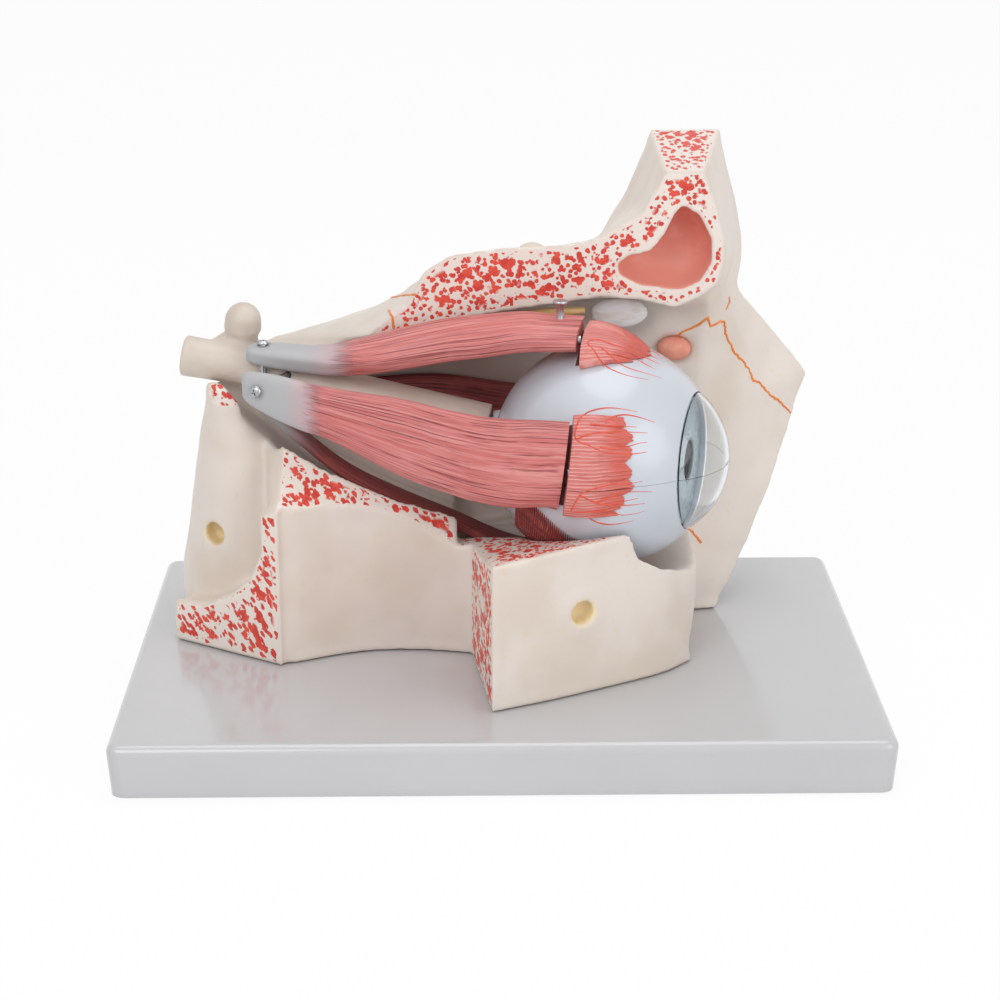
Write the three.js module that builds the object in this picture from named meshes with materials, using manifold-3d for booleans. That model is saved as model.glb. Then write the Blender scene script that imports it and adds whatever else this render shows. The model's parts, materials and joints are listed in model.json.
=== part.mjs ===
// Anatomical model of a right eye in part of its bony orbit, three times life size, on a flat base.
// Millimetres, +Z up. The origin is the centre of the base's footprint on the table.
// +X is the front of the eye, -Y is its outer side and +Y is the side of the nose.
import * as THREE from 'three';
import { mergeVertices } from 'three/addons/utils/BufferGeometryUtils.js';
import Module from 'manifold-3d';

const wasm = await Module();
wasm.setup();

// Driving dimensions: base
const BASE_LENGTH = 260;
const BASE_DEPTH = 180;
const BASE_TOP = 19;
const BASE_RIM = 0.6;
const BASE_WALL = 3;
const BASE_CORNER = 5;
const BASE_FILLET = 3.5;
const BASE_DRAFT = 1.2;
const RIB_THICKNESS = 2;
const FOOT_DIAMETER = 14;
const FOOT_HEIGHT = 3;
const FOOT_INSET = 16;
const BOSS_WALL = 3;

// Driving dimensions: fasteners
const SEAT = 0.3;
const CUT_BLOCK = 400;
const SCREW_DIAMETER = 4;
const SCREW_HEAD_DIAMETER = 8;
const SCREW_HEAD_HEIGHT = 2.6;
const SCREW_REACH = 12;
const PIVOT_DIAMETER = 2.4;
const PIVOT_HEAD_DIAMETER = 4.4;
const PIVOT_HEAD_HEIGHT = 1.5;
const PIVOT_RUNNING_GAP = 0.3;
const STUD_DIAMETER = 2.9;
const STUD_HEAD_DIAMETER = 5.2;
const STUD_PROUD = 7;
const STUD_SUNK = 3;
const MAGNET_DIAMETER = 3.2;
const MAGNET_DEPTH = 3;
const KEEPER_DEPTH = 2;

// Driving dimensions: eyeball
const EYE_X = 37;
const EYE_Y = -2;
const EYE_Z = 91;
const EYE_TURN = 18;
const EYE_RADIUS = 39.5;
const SCLERA_WALL = 2.4;
const CHOROID_WALL = 1.8;
const VITREOUS_GAP = 0.8;
const LIMBUS_RADIUS = 24;
const CORNEA_RADIUS = 29.7;
const CORNEA_WALL = 1.2;
const IRIS_THICKNESS = 1.2;
const IRIS_SETBACK = 2.4;
const PUPIL_RADIUS = 7;
const LENS_RADIUS = 13.5;
const LENS_THICKNESS = 11;
const LENS_SETBACK = 5.2;
const LENS_STEPS = 10;
const SEAM_PIN_DIAMETER = 1.6;
const SEAM_PIN_HEIGHT = 6;
const SEAM_PIN_INSET = 1.5;
const STUB_RADIUS = 4;
const STUB_TAB = 1.6;
const NERVE_TO_BALL = 3.6;
const PEG_RADIUS = 2.4;
const PEG_LENGTH = 7;
const SHELL_SEGMENTS = 32;

// Driving dimensions: eye muscles
const MUSCLE_CLEARANCE = 0.9;
const SWING_CLEARANCE = 1.6;
const LATERAL_GAP = 1.7;
const SUPERIOR_STUMP = 7.5;
const LATERAL_STUMP = 5.9;
const THIN_STUMP = 1.4;
const SUPERIOR_THICKNESS = 6.8;
const LATERAL_THICKNESS = 4.9;
const SUPERIOR_SWING_DEGREES = 9;
const LATERAL_SWING_DEGREES = 30;
const SUPERIOR_BEND = 66;
const LATERAL_BEND = 60;
const MUSCLE_SIDES = 14;
const SIDE_POWER = 0.75;
const FACE_POWER = 0.6;

// Driving dimensions: bones
const CUT_FACE_Y = 20;
const MIDLINE_Y = 75;
const SUTURE_GAP = 0.3;
const WITHDRAW_SLOPE_DEGREES = 7;
const ORBIT_CLEARANCE = 1.8;
const ORBIT_SIDES = 40;
const FORAMEN_RADIUS = 4.2;
const FORAMEN_DEPTH = 6;
const NERVE_RADIUS = 7.4;
const NERVE_RINGS = 10;
const NERVE_SIDES = 16;
const SINUS_DEPTH = 14;
const NASAL_Y = 29.5;
const SUTURE_X = -15;
const SPHENOID_X = -86;

const MESH_TOLERANCE = 0.02;
const rad = THREE.MathUtils.degToRad;
const vec = (x, y, z) => new THREE.Vector3(x, y, z);
const EYE = vec(EYE_X, EYE_Y, EYE_Z);
const BONE_FLOOR = BASE_TOP + SEAT;

const finish = {
  base: new THREE.MeshStandardMaterial({ color: 0xd9dadc, roughness: 0.25 }),
  rubber: new THREE.MeshStandardMaterial({ color: 0x2b2b2d, roughness: 0.9 }),
  bone: new THREE.MeshStandardMaterial({ color: 0xddd0c4, roughness: 0.55 }),
  nerve: new THREE.MeshStandardMaterial({ color: 0xdccfbf, roughness: 0.55 }),
  yellowNerve: new THREE.MeshStandardMaterial({ color: 0xd9ab5c, roughness: 0.6 }),
  muscle: new THREE.MeshStandardMaterial({ color: 0xcd6e6e, roughness: 0.5 }),
  darkMuscle: new THREE.MeshStandardMaterial({ color: 0x7a3236, roughness: 0.55 }),
  tendon: new THREE.MeshStandardMaterial({ color: 0xe6e6ea, roughness: 0.5 }),
  gland: new THREE.MeshStandardMaterial({ color: 0xd99077, roughness: 0.5 }),
  sclera: new THREE.MeshStandardMaterial({ color: 0xe2e6ec, roughness: 0.3 }),
  choroid: new THREE.MeshStandardMaterial({ color: 0x7c2f22, roughness: 0.5 }),
  iris: new THREE.MeshStandardMaterial({ color: 0x7f969b, roughness: 0.5 }),
  clear: new THREE.MeshStandardMaterial({
    color: 0xeef4f7, roughness: 0.05, transparent: true, opacity: 0.3,
  }),
  steel: new THREE.MeshStandardMaterial({ color: 0xb9bdc2, roughness: 0.3, metalness: 1 }),
};

// Solids: conversion between three.js geometry and boolean bodies

function toSolid(geometry) {
  const bare = geometry.index ? geometry.toNonIndexed() : geometry.clone();
  bare.deleteAttribute('normal');
  bare.deleteAttribute('uv');
  const merged = mergeVertices(bare, 1e-4);
  const mesh = new wasm.Mesh({
    numProp: 3,
    vertProperties: new Float32Array(merged.attributes.position.array),
    triVerts: new Uint32Array(merged.index.array),
  });
  mesh.merge();
  return new wasm.Manifold(mesh);
}

function toGeometry(solid) {
  const mesh = solid.simplify(MESH_TOLERANCE).getMesh();
  const geometry = new THREE.BufferGeometry();
  geometry.setAttribute('position', new THREE.BufferAttribute(new Float32Array(mesh.vertProperties), 3));
  geometry.setIndex(new THREE.BufferAttribute(new Uint32Array(mesh.triVerts), 1));
  geometry.computeVertexNormals();
  return geometry;
}

const unite = (...solids) => solids.reduce((whole, piece) => whole.add(piece));
const cut = (solid, ...tools) => tools.reduce((whole, tool) => whole.subtract(tool), solid);

// A solid transformed by a three.js matrix.
function moved(geometry, matrix) {
  return toSolid(geometry.clone().applyMatrix4(matrix));
}

// The matrix that carries local X, Y, Z onto the given axes at a place.
function placed(origin, x, y, z) {
  return new THREE.Matrix4().makeBasis(x, y, z).setPosition(origin);
}

// A block between two corners.
function block(low, high) {
  const size = high.clone().sub(low);
  const middle = low.clone().add(high).multiplyScalar(0.5);
  const box = new THREE.BoxGeometry(size.x, size.y, size.z);
  return toSolid(box.translate(middle.x, middle.y, middle.z));
}

// A round rod from one point to another.
function rod(from, to, radius, sides = 16) {
  const along = to.clone().sub(from);
  const turn = new THREE.Quaternion().setFromUnitVectors(vec(0, 1, 0), along.clone().normalize());
  const middle = from.clone().add(to).multiplyScalar(0.5);
  const cylinder = new THREE.CylinderGeometry(radius, radius, along.length(), sides);
  return moved(cylinder, new THREE.Matrix4().compose(middle, turn, vec(1, 1, 1)));
}

// A body turned about the line through a point along a direction: profile pairs are [radius, height].
function turned(profile, origin, direction, segments = 24) {
  const lathe = new THREE.LatheGeometry(profile.map(([r, h]) => new THREE.Vector2(r, h)), segments);
  const turn = new THREE.Quaternion().setFromUnitVectors(vec(0, 1, 0), direction.clone().normalize());
  return moved(lathe, new THREE.Matrix4().compose(origin, turn, vec(1, 1, 1)));
}

// A closed skin through rings of equal point count, with a flat cap on each end.
function loft(rings) {
  const count = rings[0].length;
  const points = rings.flat();
  const faces = [];
  for (let ring = 0; ring < rings.length - 1; ring += 1) {
    for (let i = 0; i < count; i += 1) {
      const a = ring * count + i;
      const b = ring * count + (i + 1) % count;
      faces.push([a, b, b + count], [a, b + count, a + count]);
    }
  }
  for (const [offset, flip] of [[0, true], [(rings.length - 1) * count, false]]) {
    for (const [i, j, k] of capTriangles(rings[offset === 0 ? 0 : rings.length - 1])) {
      faces.push(flip ? [offset + k, offset + j, offset + i] : [offset + i, offset + j, offset + k]);
    }
  }
  const geometry = new THREE.BufferGeometry();
  const places = points.flatMap((p) => p.toArray());
  geometry.setAttribute('position', new THREE.Float32BufferAttribute(places, 3));
  geometry.setIndex(faces.flat());
  const solid = toSolid(geometry);
  if (solid.volume() > 0) {
    return solid;
  }
  geometry.setIndex(faces.map(([a, b, c]) => [a, c, b]).flat());
  return toSolid(geometry);
}

// Triangles that fill one ring, found in the plane that the ring covers most of.
function capTriangles(ring) {
  const normal = vec(0, 0, 0);
  ring.forEach((p, i) => {
    const q = ring[(i + 1) % ring.length];
    normal.add(vec((p.y - q.y) * (p.z + q.z), (p.z - q.z) * (p.x + q.x), (p.x - q.x) * (p.y + q.y)));
  });
  const size = [Math.abs(normal.x), Math.abs(normal.y), Math.abs(normal.z)];
  const drop = size.indexOf(Math.max(...size));
  const [u, v] = [['y', 'z'], ['z', 'x'], ['x', 'y']][drop];
  const sign = normal.getComponent(drop) > 0 ? 1 : -1;
  const flat = ring.map((p) => new THREE.Vector2(p[u] * sign, p[v]));
  return THREE.ShapeUtils.triangulateShape(flat, []);
}

// A smooth open run of points through a few chosen ones.
function smooth(points, divisions) {
  const curve = new THREE.SplineCurve(points.map(([x, y]) => new THREE.Vector2(x, y)));
  return curve.getPoints(divisions).map((p) => [p.x, p.y]);
}

// An outline in plan, standing between two heights.
function standing(outline, low, high) {
  const shape = new THREE.Shape(outline.map(([x, y]) => new THREE.Vector2(x, y)));
  const body = new THREE.ExtrudeGeometry(shape, { depth: high - low, bevelEnabled: false });
  return toSolid(body.translate(0, 0, low));
}

// An outline in X and Z, running from one Y to another.
function running(outline, near, far) {
  const shape = new THREE.Shape(outline.map(([x, z]) => new THREE.Vector2(x, z)));
  const body = new THREE.ExtrudeGeometry(shape, { depth: far - near, bevelEnabled: false });
  return moved(body, placed(vec(0, far, 0), vec(1, 0, 0), vec(0, 0, 1), vec(0, -1, 0)));
}

// The half of space behind a plane, as a large block whose front face lies on it.
function behind(point, normal, size = CUT_BLOCK) {
  const out = normal.clone().normalize();
  const reference = Math.abs(out.z) < 0.9 ? vec(0, 0, 1) : vec(1, 0, 0);
  const side = reference.cross(out).normalize();
  const box = new THREE.BoxGeometry(size, size, size).translate(0, 0, -size / 2);
  return moved(box, placed(point, side, out.clone().cross(side), out));
}

// A rounded rectangle in plan, with evenly spaced points on its corners.
function roundedRectangle(length, depth, radius, steps = 3) {
  const points = [];
  for (const [sx, sy, start] of [[1, 1, 0], [-1, 1, 90], [-1, -1, 180], [1, -1, 270]]) {
    for (let i = 0; i <= steps; i += 1) {
      const angle = rad(start + 90 * i / steps);
      const x = sx * (length / 2 - radius) + radius * Math.cos(angle);
      points.push([x, sy * (depth / 2 - radius) + radius * Math.sin(angle)]);
    }
  }
  return points;
}

const atHeight = (outline, z) => outline.map(([x, y]) => vec(x, y, z));

// Base: a moulded tray with its open side down, ribs, screw bosses and four rubber feet

const footPlaces = {
  foot_front_left: [-1, -1],
  foot_front_right: [1, -1],
  foot_rear_left: [-1, 1],
  foot_rear_right: [1, 1],
};
const footCentre = ([sx, sy]) => [sx * (BASE_LENGTH / 2 - FOOT_INSET), sy * (BASE_DEPTH / 2 - FOOT_INSET)];

const bonePlaces = {
  zygomatic_screw: [26, -36],
  maxilla_screw: [30, 40],
  sphenoid_screw: [-92, 30],
  nasal_screw: [74, 45],
};

function basePlate() {
  const rings = [atHeight(roundedRectangle(
    BASE_LENGTH - 2 * BASE_DRAFT, BASE_DEPTH - 2 * BASE_DRAFT, BASE_CORNER), BASE_RIM)];
  for (let step = 0; step <= 3; step += 1) {
    const angle = rad(90 * step / 3);
    const inset = BASE_FILLET * (1 - Math.cos(angle));
    const plan = roundedRectangle(BASE_LENGTH - 2 * inset, BASE_DEPTH - 2 * inset, BASE_CORNER);
    rings.push(atHeight(plan, BASE_TOP - BASE_FILLET * (1 - Math.sin(angle))));
  }
  const ceiling = BASE_TOP - BASE_WALL;
  const inner = roundedRectangle(BASE_LENGTH - 2 * (BASE_WALL + BASE_DRAFT),
    BASE_DEPTH - 2 * (BASE_WALL + BASE_DRAFT), BASE_CORNER - BASE_DRAFT);
  let plate = cut(loft(rings), standing(inner, BASE_RIM - 1, ceiling));
  const ribReach = { x: BASE_LENGTH / 2 - BASE_WALL, y: BASE_DEPTH / 2 - BASE_WALL };
  for (const offset of [-BASE_DEPTH / 6, BASE_DEPTH / 6]) {
    plate = plate.add(block(vec(-ribReach.x, offset - RIB_THICKNESS / 2, ceiling / 2),
      vec(ribReach.x, offset + RIB_THICKNESS / 2, ceiling + 1)));
  }
  for (const offset of [-BASE_LENGTH / 4, 0, BASE_LENGTH / 4]) {
    plate = plate.add(block(vec(offset - RIB_THICKNESS / 2, -ribReach.y, ceiling / 2),
      vec(offset + RIB_THICKNESS / 2, ribReach.y, ceiling + 1)));
  }
  for (const place of Object.values(footPlaces)) {
    const [x, y] = footCentre(place);
    plate = plate.add(rod(vec(x, y, FOOT_HEIGHT + SEAT), vec(x, y, ceiling + 1), FOOT_DIAMETER / 2 + 1));
  }
  for (const [x, y] of Object.values(bonePlaces)) {
    const boss = SCREW_HEAD_DIAMETER / 2 + SEAT + BOSS_WALL;
    plate = plate.add(rod(vec(x, y, ceiling - SCREW_HEAD_HEIGHT - 2), vec(x, y, ceiling + 1), boss));
    plate = cut(plate,
      rod(vec(x, y, 0), vec(x, y, ceiling), SCREW_HEAD_DIAMETER / 2 + SEAT),
      rod(vec(x, y, 0), vec(x, y, BASE_TOP + 1), SCREW_DIAMETER / 2 + SEAT));
  }
  return plate;
}

function foot(place) {
  const [x, y] = footCentre(place);
  const radius = FOOT_DIAMETER / 2;
  const profile = [[0, 0], [radius - 0.8, 0], [radius, 0.8], [radius, FOOT_HEIGHT], [0, FOOT_HEIGHT]];
  return turned(profile, vec(x, y, 0), vec(0, 0, 1));
}

const screwTip = BASE_TOP + SCREW_REACH;

// A round-headed screw driven up through the base into a bone.
function boneScrew([x, y]) {
  const head = BASE_TOP - BASE_WALL - SEAT;
  const shank = SCREW_DIAMETER / 2;
  const profile = [[0, head - SCREW_HEAD_HEIGHT], [SCREW_HEAD_DIAMETER * 0.36, head - SCREW_HEAD_HEIGHT],
    [SCREW_HEAD_DIAMETER / 2, head - SCREW_HEAD_HEIGHT / 2], [SCREW_HEAD_DIAMETER / 2, head],
    [shank, head], [shank, screwTip - shank], [0, screwTip]];
  return turned(profile, vec(x, y, 0), vec(0, 0, 1), 16);
}

const boneScrewHoles = Object.values(bonePlaces).map(([x, y]) => rod(
  vec(x, y, BASE_TOP - 1), vec(x, y, screwTip + 1), SCREW_DIAMETER / 2 + SEAT));

// Optic nerve: a straight cord from the crossing behind the orbit to the back of the eyeball

const withdrawal = vec(Math.cos(rad(WITHDRAW_SLOPE_DEGREES)), 0, Math.sin(rad(WITHDRAW_SLOPE_DEGREES)));
const nerveEnd = EYE.clone().addScaledVector(
  vec(-40.6, 12.5, 7.4).normalize(), EYE_RADIUS + NERVE_TO_BALL);
const nerveAxis = [vec(-112, 22, 120.5), vec(-92, 20.5, 117.2), vec(-60, 16, 110), nerveEnd];

// A round cord through points, as rings square to its run.
function cord(points, radii, rings, sides) {
  const curve = new THREE.CatmullRomCurve3(points);
  const list = [];
  for (let i = 0; i <= rings; i += 1) {
    const t = i / rings;
    const centre = curve.getPointAt(t);
    const along = curve.getTangentAt(t);
    const across = along.clone().cross(vec(0, 0, 1)).normalize();
    const up = across.clone().cross(along);
    const place = t * (radii.length - 1);
    const low = Math.min(Math.floor(place), radii.length - 2);
    const radius = THREE.MathUtils.lerp(radii[low], radii[low + 1], place - low);
    const ring = [];
    for (let k = 0; k < sides; k += 1) {
      const angle = 2 * Math.PI * k / sides;
      ring.push(centre.clone().addScaledVector(across, radius * Math.cos(angle))
        .addScaledVector(up, radius * Math.sin(angle)));
    }
    list.push(ring);
  }
  return loft(list);
}

const nerveRadii = [1, 0.93, 1, 0.95, 0.9].map((share) => NERVE_RADIUS * share);
const nerveRoomFor = (gap) => cord(nerveAxis, nerveRadii.map((r) => r + gap), NERVE_RINGS, NERVE_SIDES);
const opticNerveBody = unite(
  cord(nerveAxis, nerveRadii, NERVE_RINGS, NERVE_SIDES),
  cord([vec(-100, 24, 118), vec(-92, 26, 124), vec(-90.5, 25, 133)], [7.5, 7.2, 6.6], 5, 14),
  toSolid(new THREE.SphereGeometry(6.6, 14, 10).translate(-90.5, 25, 132.5)),
);

// Bones: one modelled mass of the orbit, parted along its sutures

const cutOutline = [
  [57.8, 186.2], [71.7, 186.2], [75.4, 176], [78.9, 163.6], [79.9, 154.6], [77.3, 145.7], [71.1, 141.4],
  [62.3, 137.4], [49.9, 140.4], [35.8, 141.5], [21.7, 139.4], [0.5, 136.2], [-24.2, 131.6], [-47.2, 126.5],
  [-46.5, 128.5], [-32.9, 138.9], [-25.7, 151.5], [-16.9, 156.8], [0.6, 159.3], [21.6, 160.2],
  [35.5, 162.7], [49.4, 170.8], [54.4, 179.6],
];
const midlineOutline = [
  [56.6, 191], [82.3, 191.5], [85.5, 180], [89.5, 165], [92, 152], [92.6, 142], [90.6, 131],
  [78, 126], [60, 126], [38, 126], [20, 125], [-4, 122], [-36, 114], [-88, 102],
  [-88.5, 113], [-60, 120.5], [-36, 129], [-20, 134], [0, 140], [20, 146],
  [38, 151], [46, 166], [52, 180],
];

function frontalMass() {
  const steps = 3;
  const rings = [];
  for (let i = 0; i <= steps; i += 1) {
    const t = i / steps;
    rings.push(cutOutline.map(([x, z], k) => vec(
      THREE.MathUtils.lerp(x, midlineOutline[k][0], t),
      THREE.MathUtils.lerp(CUT_FACE_Y, MIDLINE_Y, t),
      THREE.MathUtils.lerp(z, midlineOutline[k][1], t),
    )));
  }
  const crest = new THREE.SphereGeometry(1, 14, 8).scale(8, 5, 9).translate(13, MIDLINE_Y - 6, 143);
  return unite(loft(rings), toSolid(crest));
}

// The wall between orbit and nose, with the nasal bone in front: plan outlines at rising heights.
// Each row is the height, the orbit's rim, the side of the nose, the free edge and the hollow behind it.
const nasalSections = [
  [BONE_FLOOR, [64, 24], [72.5, 29], [81, 31], [80, 37], [55, MIDLINE_Y]],
  [28, [64, 26], [76, 31], [88, 36.5], [86, 43], [56, MIDLINE_Y]],
  [40, [66, 31], [80, 35], [94.6, 43.5], [91.5, 50], [60, MIDLINE_Y]],
  [62, [68, 36], [86, 43], [104.7, 54.5], [101, 61], [66, MIDLINE_Y]],
  [79, [70, 38], [92, 48], [111.7, 64.5], [107, 70], [75, MIDLINE_Y]],
  [89, [71, 38.5], [94, 50], [115.1, 69.5], [109, 73.5], [85, MIDLINE_Y]],
  [98.5, [72, 39], [96, 51], [119.6, 73.5], [118, MIDLINE_Y], [95, MIDLINE_Y]],
  [115, [74, 38], [90, 47], [105.5, 71], [104.5, MIDLINE_Y], [95, MIDLINE_Y]],
  [131, [76, 33], [84, 40], [91.5, 68], [91, MIDLINE_Y], [85, MIDLINE_Y]],
  [139, [76, 28], [80, 34], [87, 66], [86, MIDLINE_Y], [80, MIDLINE_Y]],
];
const medialWall = [[-86, MIDLINE_Y], [-86, 31], [-50, 34], [0, 41], [40, 44]];

function nasalMass() {
  return loft(nasalSections.map(([z, ...front]) => atHeight([...medialWall, ...front], z)));
}

// The floor, cheekbone and side wall in plan, seen from above.
const cheekFront = [[-3.5, -64.4], [8, -59], [20, -53], [42, -40.5], [55, -32.5], [61, -27]];
const templeHollow = [[-79.4, -20.7], [-71, -19.2], [-57, -12.5], [-43, -8.5], [-27, -8.5], [-10, -12]];
const lowerPlan = [
  ...smooth(templeHollow, 10), ...smooth(cheekFront, 8),
  [67, -20], [70, -8], [71, 6], [70, 18], [70, 30], [70, MIDLINE_Y],
  [-82, MIDLINE_Y], [-82, 0], [-80.6, -17.5],
];

const floorCut = { point: vec(-3.4, -64.3, 71.1), normal: vec(-0.156, 0.176, 0.972) };
const wingCut = { point: vec(-22, -9, 63.5), normal: vec(0.3155, -0.574, 0.755) };
const ridgeCut = { point: vec(-75.8, -0.2, 92.7), normal: vec(-0.559, -0.476, 0.678) };

// The cut wall at the back left, an upright slab whose outer face is sawn bone.
const slabCorner = vec(-79.4, -20.7, 0);
const slabAlong = vec(-38, 25, 0).normalize();
const slabOutline = [
  [0, BONE_FLOOR], [45.5, BONE_FLOOR], [45, 34.5], [30.5, 36], [19, 42], [10, 50], [5, 60], [4.5, 74.3],
  [-3, 77.3], [-3, BONE_FLOOR],
];

function slabMass() {
  const shape = new THREE.Shape(slabOutline.map(([s, z]) => new THREE.Vector2(s, z)));
  const body = new THREE.ExtrudeGeometry(shape, { depth: 17, bevelEnabled: false });
  return moved(body, placed(slabCorner, slabAlong, vec(0, 0, 1), slabAlong.clone().cross(vec(0, 0, 1))));
}

// Rows of height, centre and half widths for the body behind the slab.
const sphenoidSections = [
  [BONE_FLOOR, -92, 38, 25.3, 34], [38, -91.5, 36, 25.8, 32], [58, -91, 32, 22.3, 28],
  [76, -92, 28, 18.5, 24], [92, -93.5, 22, 14, 17.5], [104, -94, 17.5, 10.8, 12.5],
  [114, -94.5, 16, 9.5, 10], [124, -94.5, 17, 8, 7],
];
const SPHENOID_TOP = 113.2;
const ovalCut = { point: vec(-93.5, 8, 111.5), normal: vec(0.2, -0.7, 0.68) };

function sphenoidMass() {
  const rings = sphenoidSections.map(([z, x, y, halfX, halfY]) => {
    const ring = [];
    for (let k = 0; k < 22; k += 1) {
      const angle = 2 * Math.PI * k / 22;
      ring.push(vec(x + halfX * Math.cos(angle), y + halfY * Math.sin(angle), z));
    }
    return ring;
  });
  const body = loft(rings).intersect(behind(ovalCut.point, ovalCut.normal));
  return body.intersect(block(vec(-130, -60, BONE_FLOOR), vec(0, MIDLINE_Y, SPHENOID_TOP)));
}

// The orbit: a cone that opens forward. Each row is the place along X, the near and far side, the height
// of the widest part, the roof, the floor, where along Y the floor is lowest, and the ridge (Y, Z) from
// which the near side drops to the floor.
const orbitSections = [
  [-104, 15, 25, 119, 124, 114, 20, [16, 117]], [-84, -10, 30, 113, 127, 95, 14, [2, 99]],
  [-60, -20, 35, 104, 130, 74.5, 12, [-2, 85]], [-35, -30, 38, 98, 131, 63.5, 13, [-2.4, 74]],
  [-7, -41, 41, 93.5, 133.5, 52, 11, [0.7, 64.5]], [12, -43, 42.5, 92, 138, 46.5, 6, [-16, 64]],
  [28, -44, 42.5, 91.5, 138, 45, 0, [-31, 68]], [45, -46, 42, 92, 140, 45, -2, [-38, 72]],
  [62, -46, 40.5, 94, 138, 50.5, -2, [-38, 76]], [130, -44, 40, 103, 145, 61, -2, [-37, 85]],
];

function orbitHollow() {
  const quarter = ORBIT_SIDES / 4;
  const rings = orbitSections.map(([x, near, far, middle, roof, floor, lowest, [ridgeY, ridgeZ]]) => {
    const ring = [];
    for (let k = 0; k < ORBIT_SIDES; k += 1) {
      const angle = 2 * Math.PI * k / ORBIT_SIDES;
      const across = Math.cos(angle);
      const rise = Math.sin(angle);
      if (k <= 2 * quarter) {
        ring.push(vec(x, (near + far) / 2 + across * (far - near) / 2, middle + rise * (roof - middle)));
      } else if (k < 2.5 * quarter) {
        const t = (k - 2 * quarter) / (0.5 * quarter);
        ring.push(vec(x, THREE.MathUtils.lerp(near, ridgeY, t), THREE.MathUtils.lerp(middle, ridgeZ, t)));
      } else if (k < 3 * quarter) {
        const turn = Math.PI / 2 * (k - 2.5 * quarter) / (0.5 * quarter);
        const y = lowest - (lowest - ridgeY) * Math.cos(turn);
        ring.push(vec(x, y, ridgeZ - (ridgeZ - floor) * Math.sin(turn)));
      } else {
        ring.push(vec(x, lowest + (far - lowest) * across, middle + rise * (middle - floor)));
      }
    }
    return ring;
  });
  const path = rod(EYE, EYE.clone().addScaledVector(withdrawal, 120), EYE_RADIUS + ORBIT_CLEARANCE, 48);
  return unite(loft(rings), path, ball(ORBIT_CLEARANCE));
}

// The frontal sinus, opened by the cut face: its mouth and its smaller floor.
const sinusMouth = [
  [64.3, 174.3], [70.3, 170.7], [74.8, 161.8], [75, 153.9], [70.9, 146.8], [64, 143.9], [49.8, 145.8],
  [42.7, 149.4], [41.6, 153], [45.4, 155.9], [53.1, 157.6], [58.3, 163.7], [61.6, 170.7],
];

function sinusHollow() {
  const middle = sinusMouth.reduce((sum, [x, z]) => [sum[0] + x / 13, sum[1] + z / 13], [0, 0]);
  const ring = (y, scale) => sinusMouth.map(([x, z]) => vec(
    middle[0] + (x - middle[0]) * scale, y, middle[1] + (z - middle[1]) * scale));
  const depths = [
    [-1, 1], [0.5, 0.99], [SINUS_DEPTH * 0.55, 0.92], [SINUS_DEPTH * 0.85, 0.76], [SINUS_DEPTH, 0.5],
  ];
  return loft(depths.map(([depth, scale]) => ring(CUT_FACE_Y + depth, scale)));
}

function ellipsoid(centre, half, around = 28, rings = 16) {
  const ball = new THREE.SphereGeometry(1, around, rings).scale(half.x, half.y, half.z);
  return toSolid(ball.translate(centre.x, centre.y, centre.z));
}

const foramina = {
  cheek: { point: vec(27.6, -48.7, 48.7), inward: vec(-0.35, 0.93, 0.1) },
  sphenoid: { point: vec(-101.5, 9.5, 58), inward: vec(0.35, 0.93, 0) },
};

// The hollows that every bone shares: orbit, sinus, the holes for nerves and the screws' bores.
function hollows() {
  const holes = Object.values(foramina).map(({ point, inward }) => rod(
    point.clone().addScaledVector(inward, -12), point.clone().addScaledVector(inward, FORAMEN_DEPTH),
    FORAMEN_RADIUS, 18));
  const nerveRoom = nerveRoomFor(SEAT);
  const crossingRoom = cord([vec(-100, 24, 118), vec(-92, 26, 124), vec(-90.5, 25, 150)], [8, 8, 8], 6, 16);
  const sacRoom = ellipsoid(sac.centre, sac.half.clone().addScalar(SEAT));
  return unite(orbitHollow(), sinusHollow(), sacRoom, nerveRoom, crossingRoom, ...holes, ...boneScrewHoles);
}

const frontalSuture = [[-130, 100], [-88, 103], [-30, 119], [20, 128], [60, 131], [76, 133], [130, 128]];
// The upper edge of what the inner wall adds to the frontal bone.
const roofLine = [
  [-88.5, 111.5], [-60, 119], [-36, 127.5], [-20, 132.5], [0, 138.5], [50, 138], [140, 140],
  [140, 0], [-88.5, 0],
];
const raised = (line, offset) => line.map(([x, z]) => [x, z + offset]);

// The biggest body of a cut, without the slivers beside it.
function largest(solid) {
  return solid.decompose().reduce((best, piece) => (piece.volume() > best.volume() ? piece : best));
}

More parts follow.
